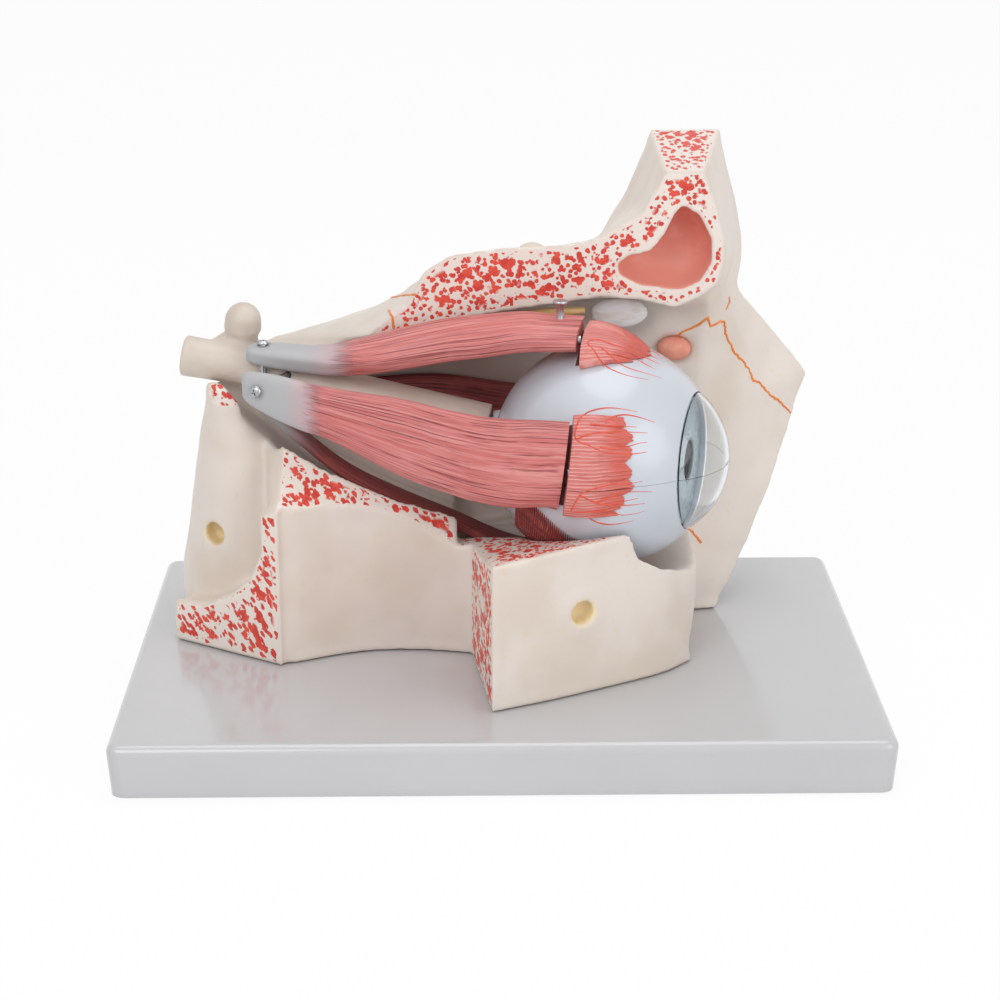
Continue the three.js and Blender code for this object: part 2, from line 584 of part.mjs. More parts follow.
function partBones() {
  const room = hollows();
  const above = running([...raised(frontalSuture, SUTURE_GAP / 2), [130, 260], [-130, 260]], -100, 120);
  const below = running([...raised(frontalSuture, -SUTURE_GAP / 2), [130, -10], [-130, -10]], -100, 120);
  const underRoof = running(roofLine, -100, 120);
  const upright = standing(lowerPlan, BONE_FLOOR, 130);
  const floor = upright.intersect(behind(floorCut.point, floorCut.normal))
    .intersect(block(vec(SUTURE_X, -100, 0), vec(140, 120, 140)));
  const wing = upright.intersect(behind(wingCut.point, wingCut.normal))
    .intersect(behind(ridgeCut.point, ridgeCut.normal))
    .intersect(block(vec(-140, -100, 0), vec(SUTURE_X, 120, 140)));
  const fossa = ellipsoid(vec(97, -2, 18), vec(34, 36, 34));
  const nasal = nasalMass();
  const face = cut(unite(floor, wing, nasal).intersect(below), fossa, room);
  const temple = cut(unite(wing, slabMass(), sphenoidMass()), room);
  const nasalRegion = block(vec(SPHENOID_X + SUTURE_GAP, NASAL_Y + SUTURE_GAP, 0), vec(140, 120, 260));
  const nasalRoom = block(vec(SPHENOID_X, NASAL_Y, 0), vec(140, 120, 260));
  const cheekRegion = block(vec(SUTURE_X + SUTURE_GAP, -120, 0), vec(140, NASAL_Y, 260));
  return {
    frontal_bone: largest(cut(unite(frontalMass(), nasal.intersect(underRoof)).intersect(above), room)),
    nasal_bone: largest(face.intersect(nasalRegion)),
    cheek_bone: largest(face.intersect(cheekRegion)),
    sphenoid_bone: largest(cut(temple, nasalRoom)),
  };
}

// Muscles: ribbons through stations across their run, each a rounded section that may bend round the ball

// One station: its centre, width, thickness, tilt towards the outer side in degrees and the radius that
// the ribbon bends round (0 for flat).
function section({ x, y, z, width, thick, tilt = 0, bend = 0 }, across, out) {
  const turn = rad(tilt);
  const side = across.clone().multiplyScalar(Math.cos(turn)).addScaledVector(out, Math.sin(turn));
  const face = out.clone().multiplyScalar(Math.cos(turn)).addScaledVector(across, -Math.sin(turn));
  const ring = [];
  for (let k = 0; k < MUSCLE_SIDES; k += 1) {
    const angle = 2 * Math.PI * k / MUSCLE_SIDES;
    const boxy = (value, power) => Math.sign(value) * Math.abs(value) ** power;
    const s = boxy(Math.cos(angle), SIDE_POWER) * width / 2;
    const h = boxy(Math.sin(angle), FACE_POWER) * thick / 2;
    const point = vec(x, y, z);
    if (bend > 0) {
      point.addScaledVector(side, (bend + h) * Math.sin(s / bend));
      point.addScaledVector(face, (bend + h) * Math.cos(s / bend) - bend);
    } else {
      point.addScaledVector(side, s).addScaledVector(face, h);
    }
    ring.push(point);
  }
  return ring;
}

// Numbers between two stations, so that the ribbon is smooth without more of them by hand.
function between(stations, steps) {
  const keys = ['x', 'y', 'z', 'width', 'thick', 'tilt', 'bend'];
  const curves = keys.map((key) => new THREE.SplineCurve(
    stations.map((station, i) => new THREE.Vector2(i, station[key] ?? 0))));
  const list = [];
  const total = (stations.length - 1) * steps;
  for (let i = 0; i <= total; i += 1) {
    const station = {};
    keys.forEach((key, k) => {
      station[key] = curves[k].getPoint(i / total).y;
    });
    list.push(station);
  }
  return list;
}

const upAcross = vec(0, 1, 0);
const up = vec(0, 0, 1);
const outward = vec(0, -1, 0);

function ribbon(stations, across, out, steps = 2) {
  return loft(between(stations, steps).map((station) => section(station, across, out)));
}

// The height of the ball's section above its centre at a place along X, grown by a distance.
const ballReach = (x, grown) => Math.sqrt(Math.max((EYE_RADIUS + grown) ** 2 - (x - EYE_X) ** 2, 0));

// Heights and sides given as a distance beyond the ball's own top, bottom and sides.
const overTop = (rise) => EYE_Z + EYE_RADIUS + rise;
const underBottom = (drop) => EYE_Z - EYE_RADIUS - drop;
const outerSide = (beyond) => EYE_Y - EYE_RADIUS - beyond;
const innerSide = (beyond) => EYE_Y + EYE_RADIUS + beyond;

// Where each muscle stops and its stump starts, in pairs of [Y, X] for the upper one and
// [Z, X] for the outer one.
const superiorEnd = [[60, 29.7], [3, 29.7], [-19, 27], [-60, 27]];
const superiorStumpEnd = [[60, 37.1], [-60, 23.5]];
const lateralEnd = [[140, 25.5], [60, 16.8]];
const SUPERIOR_END_X = 29;
const LATERAL_END_X = 21;
const superiorEndZ = EYE_Z + ballReach(SUPERIOR_END_X, SWING_CLEARANCE + SUPERIOR_THICKNESS / 2);
const lateralEndRadius = ballReach(LATERAL_END_X, SWING_CLEARANCE + LATERAL_THICKNESS / 2);
const LATERAL_TILT = 10;

const superiorStations = [
  { x: -88.5, y: 12, z: 123.6, width: 5.5, thick: 4 },
  { x: -86, y: 11.6, z: 123.8, width: 9.5, thick: 6, tilt: 5 },
  { x: -78, y: 10.5, z: 123.3, width: 11.5, thick: 7.5, tilt: 10 },
  { x: -68, y: 9.5, z: 122.4, width: 11.5, thick: 8, tilt: 14 },
  { x: -58, y: 8.5, z: 122.3, width: 13.5, thick: 8.6, tilt: 17 },
  { x: -45, y: 7.5, z: overTop(-6.3), width: 17.5, thick: 9, tilt: 18 },
  { x: -32, y: 5.5, z: overTop(-3.1), width: 21.5, thick: 9, tilt: 16 },
  { x: -12, y: 2, z: overTop(1.7), width: 25.5, thick: 8.8, tilt: 11 },
  { x: 7, y: -1, z: overTop(4.7), width: 27.5, thick: 8.4, tilt: 7 },
  { x: 18, y: -3, z: overTop(4.9), width: 28, thick: 8, tilt: 4 },
  { x: 34, y: -4, z: superiorEndZ + 0.4, width: 28, thick: SUPERIOR_THICKNESS, tilt: 3 },
];

const lateralStations = [
  { x: -88.8, y: -4, z: 116.4, width: 7, thick: 3.4 },
  { x: -86.5, y: -4.6, z: 115.9, width: 11.5, thick: 4.6 },
  { x: -78, y: -6.8, z: 113.4, width: 15.5, thick: 5.4 },
  { x: -68, y: -9.4, z: 110.6, width: 17.5, thick: 6 },
  { x: -58, y: -12.6, z: 108.5, width: 18.5, thick: 7 },
  { x: -34.5, y: outerSide(-18), z: 103.6, width: 27, thick: 8 },
  { x: -18, y: outerSide(-10.5), z: 100.6, width: 29.5, thick: 8, tilt: 3 },
  { x: -6.5, y: outerSide(-6), z: 99, width: 31, thick: 7.2, tilt: 5 },
  { x: 8, y: outerSide(-1.8), z: 98.2, width: 32.5, thick: 6, tilt: 8 },
  {
    x: LATERAL_END_X + 4, y: EYE_Y - lateralEndRadius * Math.cos(rad(LATERAL_TILT)),
    z: EYE_Z + lateralEndRadius * Math.sin(rad(LATERAL_TILT)), width: 32.5,
    thick: LATERAL_THICKNESS, tilt: LATERAL_TILT,
  },
];
const GENTLE_BEND = 260;
const bendsAt = (stations, start, radius) => stations.map((station) => ({
  ...station, bend: station.x > start ? radius : GENTLE_BEND,
}));

const inferiorStations = [
  { x: -86, y: 12, z: 107, width: 8, thick: 5 },
  { x: -72, y: 10.5, z: 95.2, width: 10, thick: 5.5 },
  { x: -54, y: 12, z: 79.8, width: 12, thick: 5.5 },
  { x: -35, y: 13, z: underBottom(-17.7), width: 14, thick: 5.5 },
  { x: -16, y: 12.8, z: underBottom(-9.7), width: 14.4, thick: 4.6 },
  { x: 4, y: 8, z: underBottom(-2.3), width: 17, thick: 3.6 },
  { x: 22, y: 2, z: EYE_Z - ballReach(22, MUSCLE_CLEARANCE + 1.5), width: 20, thick: 2.8 },
];
const medialStations = [
  { x: -84, y: 24.5, z: 111, width: 8, thick: 4.5 },
  { x: -66, y: 27, z: 104.5, width: 11.5, thick: 5.5 },
  { x: -46, y: innerSide(-8), z: 102, width: 16, thick: 6 },
  { x: -22, y: innerSide(-4), z: 99.5, width: 21, thick: 6 },
  { x: 2, y: innerSide(-0.9), z: 94.5, width: 23, thick: 5.5 },
  { x: 20, y: EYE_Y + ballReach(20, MUSCLE_CLEARANCE + 2), z: 91.5, width: 24, thick: 4 },
];
const obliqueStations = [
  { x: -80, y: 25.5, z: 120.5, width: 5, thick: 4.5 },
  { x: -64, y: 27, z: 117, width: 6.5, thick: 5.5 },
  { x: -44, y: 28.5, z: 117, width: 9, thick: 6.5 },
  { x: -20, y: 31, z: 120, width: 10, thick: 7 },
  { x: 4, y: 32, z: 123.5, width: 8, thick: 6 },
  { x: 26, y: 32, z: 127.5, width: 5, thick: 4 },
];

// Each pivot: the middle of the screw's head seat and the way its axis points out of the muscle.
const pivots = {
  superior: { seat: vec(-82.5, 10.8, 127.1), axis: vec(0, 0.1, 0.995).normalize() },
  lateral: { seat: vec(-83.6, -8.4, 115.6), axis: vec(-0.4, -0.9165, 0).normalize() },
};
const SUPERIOR_PIVOT_REACH = 15;
const LATERAL_PIVOT_REACH = 25;

function pivotScrew({ seat, axis }, reach) {
  const head = PIVOT_HEAD_DIAMETER / 2;
  const shank = PIVOT_DIAMETER / 2;
  const profile = [[0, -reach], [shank * 0.5, -reach], [shank, -reach + 2], [shank, SEAT], [head, SEAT],
    [head, SEAT + PIVOT_HEAD_HEIGHT * 0.45], [head * 0.72, SEAT + PIVOT_HEAD_HEIGHT * 0.85],
    [0, SEAT + PIVOT_HEAD_HEIGHT]];
  return turned(profile, seat, axis, 16);
}

const pivotHole = ({ seat, axis }, reach) => rod(
  seat.clone().addScaledVector(axis, 6), seat.clone().addScaledVector(axis, -reach - SEAT),
  PIVOT_DIAMETER / 2 + PIVOT_RUNNING_GAP, 16);

// The flat that a pivot's head turns on.
const pivotSpotface = ({ seat, axis }) => rod(
  seat, seat.clone().addScaledVector(axis, 8), PIVOT_HEAD_DIAMETER / 2 + 0.7, 20);

const ball = (grown, around = 48, rings = 28) => toSolid(
  new THREE.SphereGeometry(EYE_RADIUS + grown, around, rings).translate(EYE_X, EYE_Y, EYE_Z));

// The room that the ball takes out of a muscle which turns about its pivot.
function sweptBall({ seat, axis }, degrees, steps, grown) {
  const rooms = [];
  for (let i = 0; i <= steps; i += 1) {
    const turn = new THREE.Matrix4().makeRotationAxis(axis, rad(degrees * i / steps));
    const back = new THREE.Matrix4().makeTranslation(-seat.x, -seat.y, -seat.z);
    const forth = new THREE.Matrix4().makeTranslation(seat.x, seat.y, seat.z);
    const centre = EYE.clone().applyMatrix4(back).applyMatrix4(turn.invert()).applyMatrix4(forth);
    const room = new THREE.SphereGeometry(EYE_RADIUS + grown, 36, 20);
    rooms.push(toSolid(room.translate(centre.x, centre.y, centre.z)));
  }
  return unite(...rooms);
}

// The region on one side of an end line moved along X, as a slab that stands or lies along it.
function besideEnd(line, offset, ahead, stands) {
  const far = ahead ? 120 : -120;
  const edge = line.map(([side, x]) => [x + offset, side]);
  const outline = [...edge, [far, line[line.length - 1][0]], [far, line[0][0]]];
  return stands ? standing(outline, 0, 200) : running(outline, -80, 60);
}

// Magnets in the ends of the two swinging muscles, and the steel discs that they pull on in the stumps.
const SUPERIOR_MAGNET_RISE = 4.6;
const LATERAL_MAGNET_RISE = 3.4;
const riseAt = (rise, x, side) => Math.sqrt((EYE_RADIUS + rise) ** 2 - (x - EYE_X) ** 2 - side ** 2);
const magnets = {
  superior: { place: vec(27.7, -9, EYE_Z + riseAt(SUPERIOR_MAGNET_RISE, 27.7, -9 - EYE_Y)), reach: 3 },
  lateral: { place: vec(19.6, EYE_Y - riseAt(LATERAL_MAGNET_RISE, 19.6, 96 - EYE_Z), 96), reach: 2.7 },
};
const MOUTH = 3;
const alongX = (place, from, to, radius) => rod(
  place.clone().add(vec(from, 0, 0)), place.clone().add(vec(to, 0, 0)), radius, 16);
const magnet = ({ place }) => alongX(place, -MAGNET_DEPTH, 0, MAGNET_DIAMETER / 2);
const magnetPocket = ({ place }) => alongX(place, -MAGNET_DEPTH - SEAT, MOUTH, MAGNET_DIAMETER / 2 + SEAT);
const keeper = ({ place, reach }) => alongX(place, reach, reach + KEEPER_DEPTH, MAGNET_DIAMETER / 2);
const keeperPocket = ({ place, reach }) => alongX(
  place, reach - MOUTH, reach + KEEPER_DEPTH + SEAT, MAGNET_DIAMETER / 2 + SEAT);

const stud = { x: 21, y: -1.5, z: 138.6 };

function gripStud() {
  const shank = STUD_DIAMETER / 2;
  const head = STUD_HEAD_DIAMETER / 2;
  const profile = [[0, -STUD_SUNK], [shank, -STUD_SUNK], [shank, STUD_PROUD - 2], [head, STUD_PROUD - 0.8],
    [head, STUD_PROUD - 0.2], [head - 0.3, STUD_PROUD], [0, STUD_PROUD]];
  return turned(profile, vec(stud.x, stud.y, stud.z), up, 16);
}

const studHole = rod(vec(stud.x, stud.y, stud.z - STUD_SUNK - SEAT), vec(stud.x, stud.y, stud.z + 9),
  STUD_DIAMETER / 2 + SEAT, 16);

function muscles() {
  const superior = cut(
    ribbon(bendsAt(superiorStations, -20, SUPERIOR_BEND), upAcross, up)
      .intersect(besideEnd(superiorEnd, 0, false, true)),
    sweptBall(pivots.superior, -SUPERIOR_SWING_DEGREES, 4, SWING_CLEARANCE),
    pivotHole(pivots.superior, SUPERIOR_PIVOT_REACH), pivotSpotface(pivots.superior),
    nerveRoomFor(MUSCLE_CLEARANCE - 0.1), magnetPocket(magnets.superior), studHole);
  const lateral = cut(
    ribbon(bendsAt(lateralStations, 0, LATERAL_BEND), up, outward)
      .intersect(besideEnd(lateralEnd, 0, false, false)),
    sweptBall(pivots.lateral, -LATERAL_SWING_DEGREES, 10, SWING_CLEARANCE),
    pivotHole(pivots.lateral, LATERAL_PIVOT_REACH), pivotSpotface(pivots.lateral),
    magnetPocket(magnets.lateral));
  return {
    superior_rectus: largest(superior),
    lateral_rectus: largest(lateral),
    inferior_rectus: largest(cut(ribbon(inferiorStations, upAcross, up.clone().negate()),
      ball(MUSCLE_CLEARANCE), nerveRoomFor(SEAT))),
    medial_rectus: largest(cut(ribbon(medialStations, up, upAcross), ball(MUSCLE_CLEARANCE),
      nerveRoomFor(SEAT))),
    superior_oblique: largest(cut(ribbon(obliqueStations, up, upAcross), nerveRoomFor(SEAT))),
  };
}

// Eyeball: shells turned about the optical axis and parted at the level seam

const opticalAxis = vec(Math.cos(rad(EYE_TURN)), -Math.sin(rad(EYE_TURN)), 0);
const along = (distance) => EYE.clone().addScaledVector(opticalAxis, distance);
const upperHalf = block(vec(-CUT_BLOCK, -CUT_BLOCK, EYE_Z + SEAT / 2), vec(CUT_BLOCK, CUT_BLOCK, CUT_BLOCK));
const lowerHalf = block(vec(-CUT_BLOCK, -CUT_BLOCK, -CUT_BLOCK), vec(CUT_BLOCK, CUT_BLOCK, EYE_Z - SEAT / 2));

// Points of an arc about a centre on the axis, from one angle off the axis to another.
function arc(centre, radius, from, to, steps) {
  const points = [];
  for (let i = 0; i <= steps; i += 1) {
    const angle = from + (to - from) * i / steps;
    points.push([radius * Math.sin(angle), centre + radius * Math.cos(angle)]);
  }
  return points;
}

// A ball cut square across the optical axis where it reaches a given radius.
function dome(radius, opening, steps, reach = 0) {
  const edge = Math.asin(opening / radius);
  const profile = arc(0, radius, Math.PI, edge, steps);
  const flat = radius * Math.cos(edge);
  profile[0][0] = 0;
  if (reach > 0) {
    profile.push([opening, flat + reach]);
  }
  profile.push([0, flat + reach]);
  return turned(profile, EYE, opticalAxis, SHELL_SEGMENTS);
}

const hollowDome = (radius, opening, steps) => dome(radius, opening, steps, 12);

const limbusPlane = Math.sqrt(EYE_RADIUS ** 2 - LIMBUS_RADIUS ** 2);
const corneaCentre = limbusPlane - Math.sqrt(CORNEA_RADIUS ** 2 - LIMBUS_RADIUS ** 2);

function cornea() {
  const edge = Math.asin((LIMBUS_RADIUS - SEAT) / CORNEA_RADIUS);
  const profile = [
    ...arc(corneaCentre + SEAT, CORNEA_RADIUS - CORNEA_WALL, 0, edge, 5),
    ...arc(corneaCentre + SEAT, CORNEA_RADIUS, edge, 0, 5),
  ];
  profile[0][0] = 0;
  profile[profile.length - 1][0] = 0;
  return turned(profile, EYE, opticalAxis, SHELL_SEGMENTS);
}

const choroidRadius = EYE_RADIUS - SCLERA_WALL - SEAT;
const vitreousRadius = choroidRadius - CHOROID_WALL - VITREOUS_GAP;
const irisPlane = limbusPlane - IRIS_SETBACK;
const irisRadius = Math.sqrt(choroidRadius ** 2 - irisPlane ** 2);

function iris() {
  const rim = irisRadius - SEAT;
  const dish = IRIS_THICKNESS / 2;
  const profile = [[PUPIL_RADIUS, 0], [rim, -dish], [rim, IRIS_THICKNESS - dish],
    [PUPIL_RADIUS, IRIS_THICKNESS], [PUPIL_RADIUS, 0]];
  return turned(profile, along(irisPlane), opticalAxis, SHELL_SEGMENTS);
}

const lensMiddle = irisPlane - LENS_SETBACK - LENS_THICKNESS / 2;

function lensBody(grown) {
  const half = LENS_THICKNESS / 2 + grown;
  const rim = LENS_RADIUS + grown;
  const profile = [];
  for (let i = 0; i <= LENS_STEPS; i += 1) {
    const angle = -Math.PI / 2 + Math.PI * i / LENS_STEPS;
    profile.push([i % LENS_STEPS === 0 ? 0 : rim * Math.cos(angle), half * Math.sin(angle)]);
  }
  return turned(profile, along(lensMiddle), opticalAxis, 24);
}

// The clear body that fills the eye, flat in front with a dish for the lens.
function vitreous() {
  const front = lensMiddle + 0.5;
  const edge = Math.acos(front / vitreousRadius);
  const profile = [...arc(0, vitreousRadius, Math.PI, edge, 9), [0, front]];
  profile[0][0] = 0;
  return cut(turned(profile, EYE, opticalAxis, SHELL_SEGMENTS), lensBody(SEAT),
    rod(along(lensMiddle), along(lensMiddle + 40), LENS_RADIUS + SEAT, 24));
}

// A muscle's end on the ball: thick at the gap, thinning to nothing at its insertion.
function stump(out, across, from, to, alphas, thickness) {
  const front = vec(1, 0, 0);
  const steps = 6;
  const rows = 7;
  const rings = [];
  for (let i = 0; i <= steps; i += 1) {
    const t = i / steps;
    const height = THREE.MathUtils.lerp(thickness, 0.4, t ** 1.4);
    const outer = [];
    const inner = [];
    for (let k = 0; k <= rows; k += 1) {
      const share = k / rows;
      const alpha = rad(THREE.MathUtils.lerp(alphas[0], alphas[1], share));
      const edge = 1 - Math.abs(2 * share - 1) ** 4;
      const beta = rad(THREE.MathUtils.lerp(from, to, t));
      const direction = front.clone().multiplyScalar(Math.sin(beta))
        .addScaledVector(across, Math.cos(beta) * Math.sin(alpha))
        .addScaledVector(out, Math.cos(beta) * Math.cos(alpha));
      outer.push(EYE.clone().addScaledVector(direction, EYE_RADIUS + height * (0.45 + 0.55 * edge)));
      inner.push(EYE.clone().addScaledVector(direction, EYE_RADIUS - SCLERA_WALL / 2));
    }
    rings.push([...outer, ...inner.reverse()]);
  }
  return loft(rings);
}

const degreesAt = (x) => THREE.MathUtils.radToDeg(Math.asin((x - EYE_X) / (EYE_RADIUS + MUSCLE_CLEARANCE)));

// The two thick stumps are pieces of their own, seated on the shell.
const seatedOnBall = (solid) => cut(solid, ball(SEAT));
const thickStumps = {
  superior: seatedOnBall(stump(up, upAcross, -18, 23, [-26, 20], SUPERIOR_STUMP)
    .intersect(besideEnd(superiorStumpEnd, 0, true, true))),
  lateral: seatedOnBall(stump(outward, up, -27, 9, [-16, 36], LATERAL_STUMP)
    .intersect(besideEnd(lateralEnd, LATERAL_GAP, true, false))),
};
const thinStumps = {
  medial: stump(upAcross, up, degreesAt(21.5), 10, [-18, 18], THIN_STUMP),
  inferior: stump(up.clone().negate(), upAcross, degreesAt(25.5), 24, [-20, 20], THIN_STUMP),
  oblique: stump(vec(0, -0.63, -0.777), vec(0, -0.777, 0.63), -52, -11, [-22, 9], THIN_STUMP),
};

// Pins in the middle of the shell's wall, at the seam: one behind the cornea's rim, one at the back.
const wallMiddle = EYE_RADIUS - SCLERA_WALL / 2;
const besideAxis = vec(-opticalAxis.y, opticalAxis.x, 0);
const inWall = (angle) => along(wallMiddle * Math.cos(angle)).addScaledVector(
  besideAxis, wallMiddle * Math.sin(angle));
const seamPins = {
  front: inWall(-Math.asin(LIMBUS_RADIUS / EYE_RADIUS) - SEAM_PIN_INSET / wallMiddle),
  rear: inWall(rad(162.5)),
};
const seamPin = (place, gap) => rod(place.clone().addScaledVector(up, -SEAM_PIN_HEIGHT / 2 - gap),
  place.clone().addScaledVector(up, SEAM_PIN_HEIGHT / 2 + gap), SEAM_PIN_DIAMETER / 2 + gap, 12);

// The stub at the back of the ball, whose peg slides in the nerve along the line of withdrawal.
const fromNerve = (distance) => nerveEnd.clone().addScaledVector(withdrawal, distance);
const nerveSocket = rod(fromNerve(-PEG_LENGTH - 1), fromNerve(12), PEG_RADIUS + SEAT, 18);
const STUB_START = 1.9;
const STUB_END = 9;

function rearStub() {
  return unite(rod(fromNerve(STUB_START), fromNerve(STUB_END), STUB_RADIUS, 20),
    rod(fromNerve(-PEG_LENGTH), fromNerve(STUB_END), PEG_RADIUS, 18));
}

// The tab of the lower shell that rises past the seam to carry the stub. Grown, it is the notch in what
// lifts off past it.
function stubTab(grown) {
  const radius = STUB_RADIUS + STUB_TAB + grown;
  const foot = (distance) => fromNerve(distance).setZ(EYE_Z);
  const reach = [STUB_START - 2, STUB_END + 4];
  const sides = reach.map((distance) => foot(distance));
  const web = block(vec(sides[0].x, nerveEnd.y - radius, EYE_Z - SEAT),
    vec(sides[1].x, nerveEnd.y + radius, fromNerve(STUB_END).z));
  return unite(rod(fromNerve(reach[0]), fromNerve(reach[1]), radius, 24), web);
}

function eyeball() {
  const hollow = hollowDome(EYE_RADIUS - SCLERA_WALL, LIMBUS_RADIUS, 10);
  const sclera = cut(unite(dome(EYE_RADIUS, LIMBUS_RADIUS, 11), ...Object.values(thinStumps)), hollow);
  const holes = Object.values(seamPins).map((place) => seamPin(place, SEAT / 2));
  const choroid = cut(dome(choroidRadius, irisRadius, 9),
    hollowDome(choroidRadius - CHOROID_WALL, irisRadius, 8));
  const lower = unite(sclera.intersect(unite(lowerHalf, stubTab(0))), cut(rearStub(), hollow));
  const stumps = Object.fromEntries(Object.entries(thickStumps).map(
    ([name, solid]) => [name, cut(solid, keeperPocket(magnets[name]))]));
  return {
    sclera_upper: largest(cut(sclera.intersect(upperHalf), stubTab(SEAT), ...holes)),
    sclera_lower: largest(cut(lower, ...holes)),
    superior_stump: stumps.superior,
    lateral_stump_upper: stumps.lateral.intersect(upperHalf),
    lateral_stump_lower: stumps.lateral.intersect(lowerHalf),
    cornea_upper: cornea().intersect(upperHalf),
    cornea_lower: cornea().intersect(lowerHalf),
    choroid_upper: cut(choroid.intersect(upperHalf), stubTab(2 * SEAT)),
    choroid_lower: choroid.intersect(lowerHalf),
    iris_upper: iris().intersect(upperHalf),
    iris_lower: iris().intersect(lowerHalf),
    vitreous_body: vitreous(),
    lens: lensBody(0),
  };
}

// Small soft parts fixed in the orbit

const sac = { centre: vec(64, 39.3, 117.5), half: vec(6.5, 3.9, 4.6) };
const frontalNervePath = [vec(-6, 27, 131.2), vec(8, 27, 133), vec(18, 27.2, 134), vec(31, 27.4, 134.8)];

function softParts(frontal) {
  const overhang = frontal.translate([0, 0, -SEAT]);
  return {
    frontal_nerve: largest(cut(cord(frontalNervePath, [1.2, 1.8, 1.8, 1.2], 10, 10), overhang)),
    trochlea: largest(cut(ellipsoid(vec(43.5, 30, 131.6), vec(10.5, 5, 7), 18, 10), overhang)),
    lacrimal_sac: ellipsoid(sac.centre, sac.half, 18, 10),
  };
}

// Assembly

const model = new THREE.Group();
model.name = 'eye_model';

function add(name, solid, material, parent = model) {
  const mesh = new THREE.Mesh(toGeometry(solid), material);
  mesh.name = name;
  parent.add(mesh);
}

add('base_plate', basePlate(), finish.base);
for (const [name, place] of Object.entries(footPlaces)) {
  add(name, foot(place), finish.rubber);
}
for (const [name, place] of Object.entries(bonePlaces)) {
  add(name, boneScrew(place), finish.steel);
}
const boneParts = partBones();
for (const [name, solid] of Object.entries(boneParts)) {
  add(name, solid, finish.bone);
}
const soft = softParts(boneParts.frontal_bone);
add('frontal_nerve', soft.frontal_nerve, finish.yellowNerve);
add('trochlea', soft.trochlea, finish.tendon);
add('lacrimal_sac', soft.lacrimal_sac, finish.gland);
add('optic_nerve', cut(opticNerveBody, nerveSocket, pivotHole(pivots.superior, SUPERIOR_PIVOT_REACH),
  pivotHole(pivots.lateral, LATERAL_PIVOT_REACH)), finish.nerve);
for (const [name, solid] of Object.entries(muscles())) {
  add(name, solid, /superior_rectus|lateral/.test(name) ? finish.muscle : finish.darkMuscle);
}
add('superior_pivot_screw', pivotScrew(pivots.superior, SUPERIOR_PIVOT_REACH), finish.steel);
add('lateral_pivot_screw', pivotScrew(pivots.lateral, LATERAL_PIVOT_REACH), finish.steel);
add('grip_stud', gripStud(), finish.steel);
for (const [name, place] of Object.entries(magnets)) {
  add(`${name}_magnet`, magnet(place), finish.steel);
  add(`${name}_keeper`, keeper(place), finish.steel);
}
const eyeFinishes = {
  sclera: finish.sclera, superior: finish.muscle, lateral: finish.muscle, choroid: finish.choroid,
  iris: finish.iris, cornea: finish.clear, vitreous: finish.clear, lens: finish.clear,
};
for (const [name, solid] of Object.entries(eyeball())) {
  add(name, solid, eyeFinishes[name.split('_')[0]]);
}
for (const [name, place] of Object.entries(seamPins)) {
  add(`seam_pin_${name}`, seamPin(place, 0), finish.steel);
}

export default model;
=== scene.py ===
"""Enlarged anatomical model of a right eye in part of its bony orbit, on a flat base.

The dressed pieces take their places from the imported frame. Lengths in this file are millimetres
unless a name says otherwise, and become metres where a mesh is made. +X is the front of the eye,
-Y its outer side, +Y the side of the nose, and the eye stands over the base in +Z.
"""

from __future__ import annotations

import json
import logging
import math
from dataclasses import dataclass, field, replace
from enum import Enum
from typing import Callable, Iterable, NamedTuple, Sequence

import bmesh
import bpy
from mathutils import Matrix, Vector, kdtree, noise
from mathutils.bvhtree import BVHTree

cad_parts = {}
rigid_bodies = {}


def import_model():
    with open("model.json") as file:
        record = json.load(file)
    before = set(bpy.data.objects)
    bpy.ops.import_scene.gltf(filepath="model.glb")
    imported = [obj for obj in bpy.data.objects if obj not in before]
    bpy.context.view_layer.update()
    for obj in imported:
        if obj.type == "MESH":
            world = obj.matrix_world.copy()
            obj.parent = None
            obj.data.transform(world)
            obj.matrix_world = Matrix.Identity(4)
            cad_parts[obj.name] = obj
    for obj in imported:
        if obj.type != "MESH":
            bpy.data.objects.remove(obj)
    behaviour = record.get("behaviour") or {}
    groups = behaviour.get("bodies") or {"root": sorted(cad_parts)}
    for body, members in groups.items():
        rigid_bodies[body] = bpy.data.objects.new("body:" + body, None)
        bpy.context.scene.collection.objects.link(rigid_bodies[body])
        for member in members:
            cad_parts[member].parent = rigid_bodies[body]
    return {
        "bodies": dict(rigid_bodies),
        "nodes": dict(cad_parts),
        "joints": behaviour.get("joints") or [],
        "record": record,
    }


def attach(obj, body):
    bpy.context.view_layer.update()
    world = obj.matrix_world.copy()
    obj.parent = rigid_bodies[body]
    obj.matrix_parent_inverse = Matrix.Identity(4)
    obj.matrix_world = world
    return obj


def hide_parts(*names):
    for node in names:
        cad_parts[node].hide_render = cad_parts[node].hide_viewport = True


LOG = logging.getLogger("eye_model")
MM = 0.001
Place = Callable[[float, float], Vector]
Pair = tuple[float, float]
Triple = tuple[float, float, float]
Colour = tuple[float, float, float, float]
Piece = bpy.types.Object
Material = bpy.types.Material
Socket = bpy.types.NodeSocket

# The ball's centre and radius, and the room between parts that fit into each other
EYE = Vector((37, -2, 91))
EYE_RADIUS = 39.5
SEAT = 0.3

# The size of a pattern on a UV map that leaves the map's own units as they are
UV_SIZE = 1000.0

ACROSS = Vector((0, 1, 0))
UP = Vector((0, 0, 1))
OUTWARD = Vector((0, -1, 0))
WHITE: Colour = (1, 1, 1, 1)


class Body(Enum):
    """The bodies of the frame that the dressed pieces ride on."""

    ORBIT = "orbit"
    SUPERIOR = "superior_muscle"
    LATERAL = "lateral_muscle"
    EYEBALL = "eyeball"
    UPPER_SHELL = "upper_shell"
    UPPER_CHOROID = "upper_choroid"
    VITREOUS = "vitreous"
    LENS = "crystalline_lens"


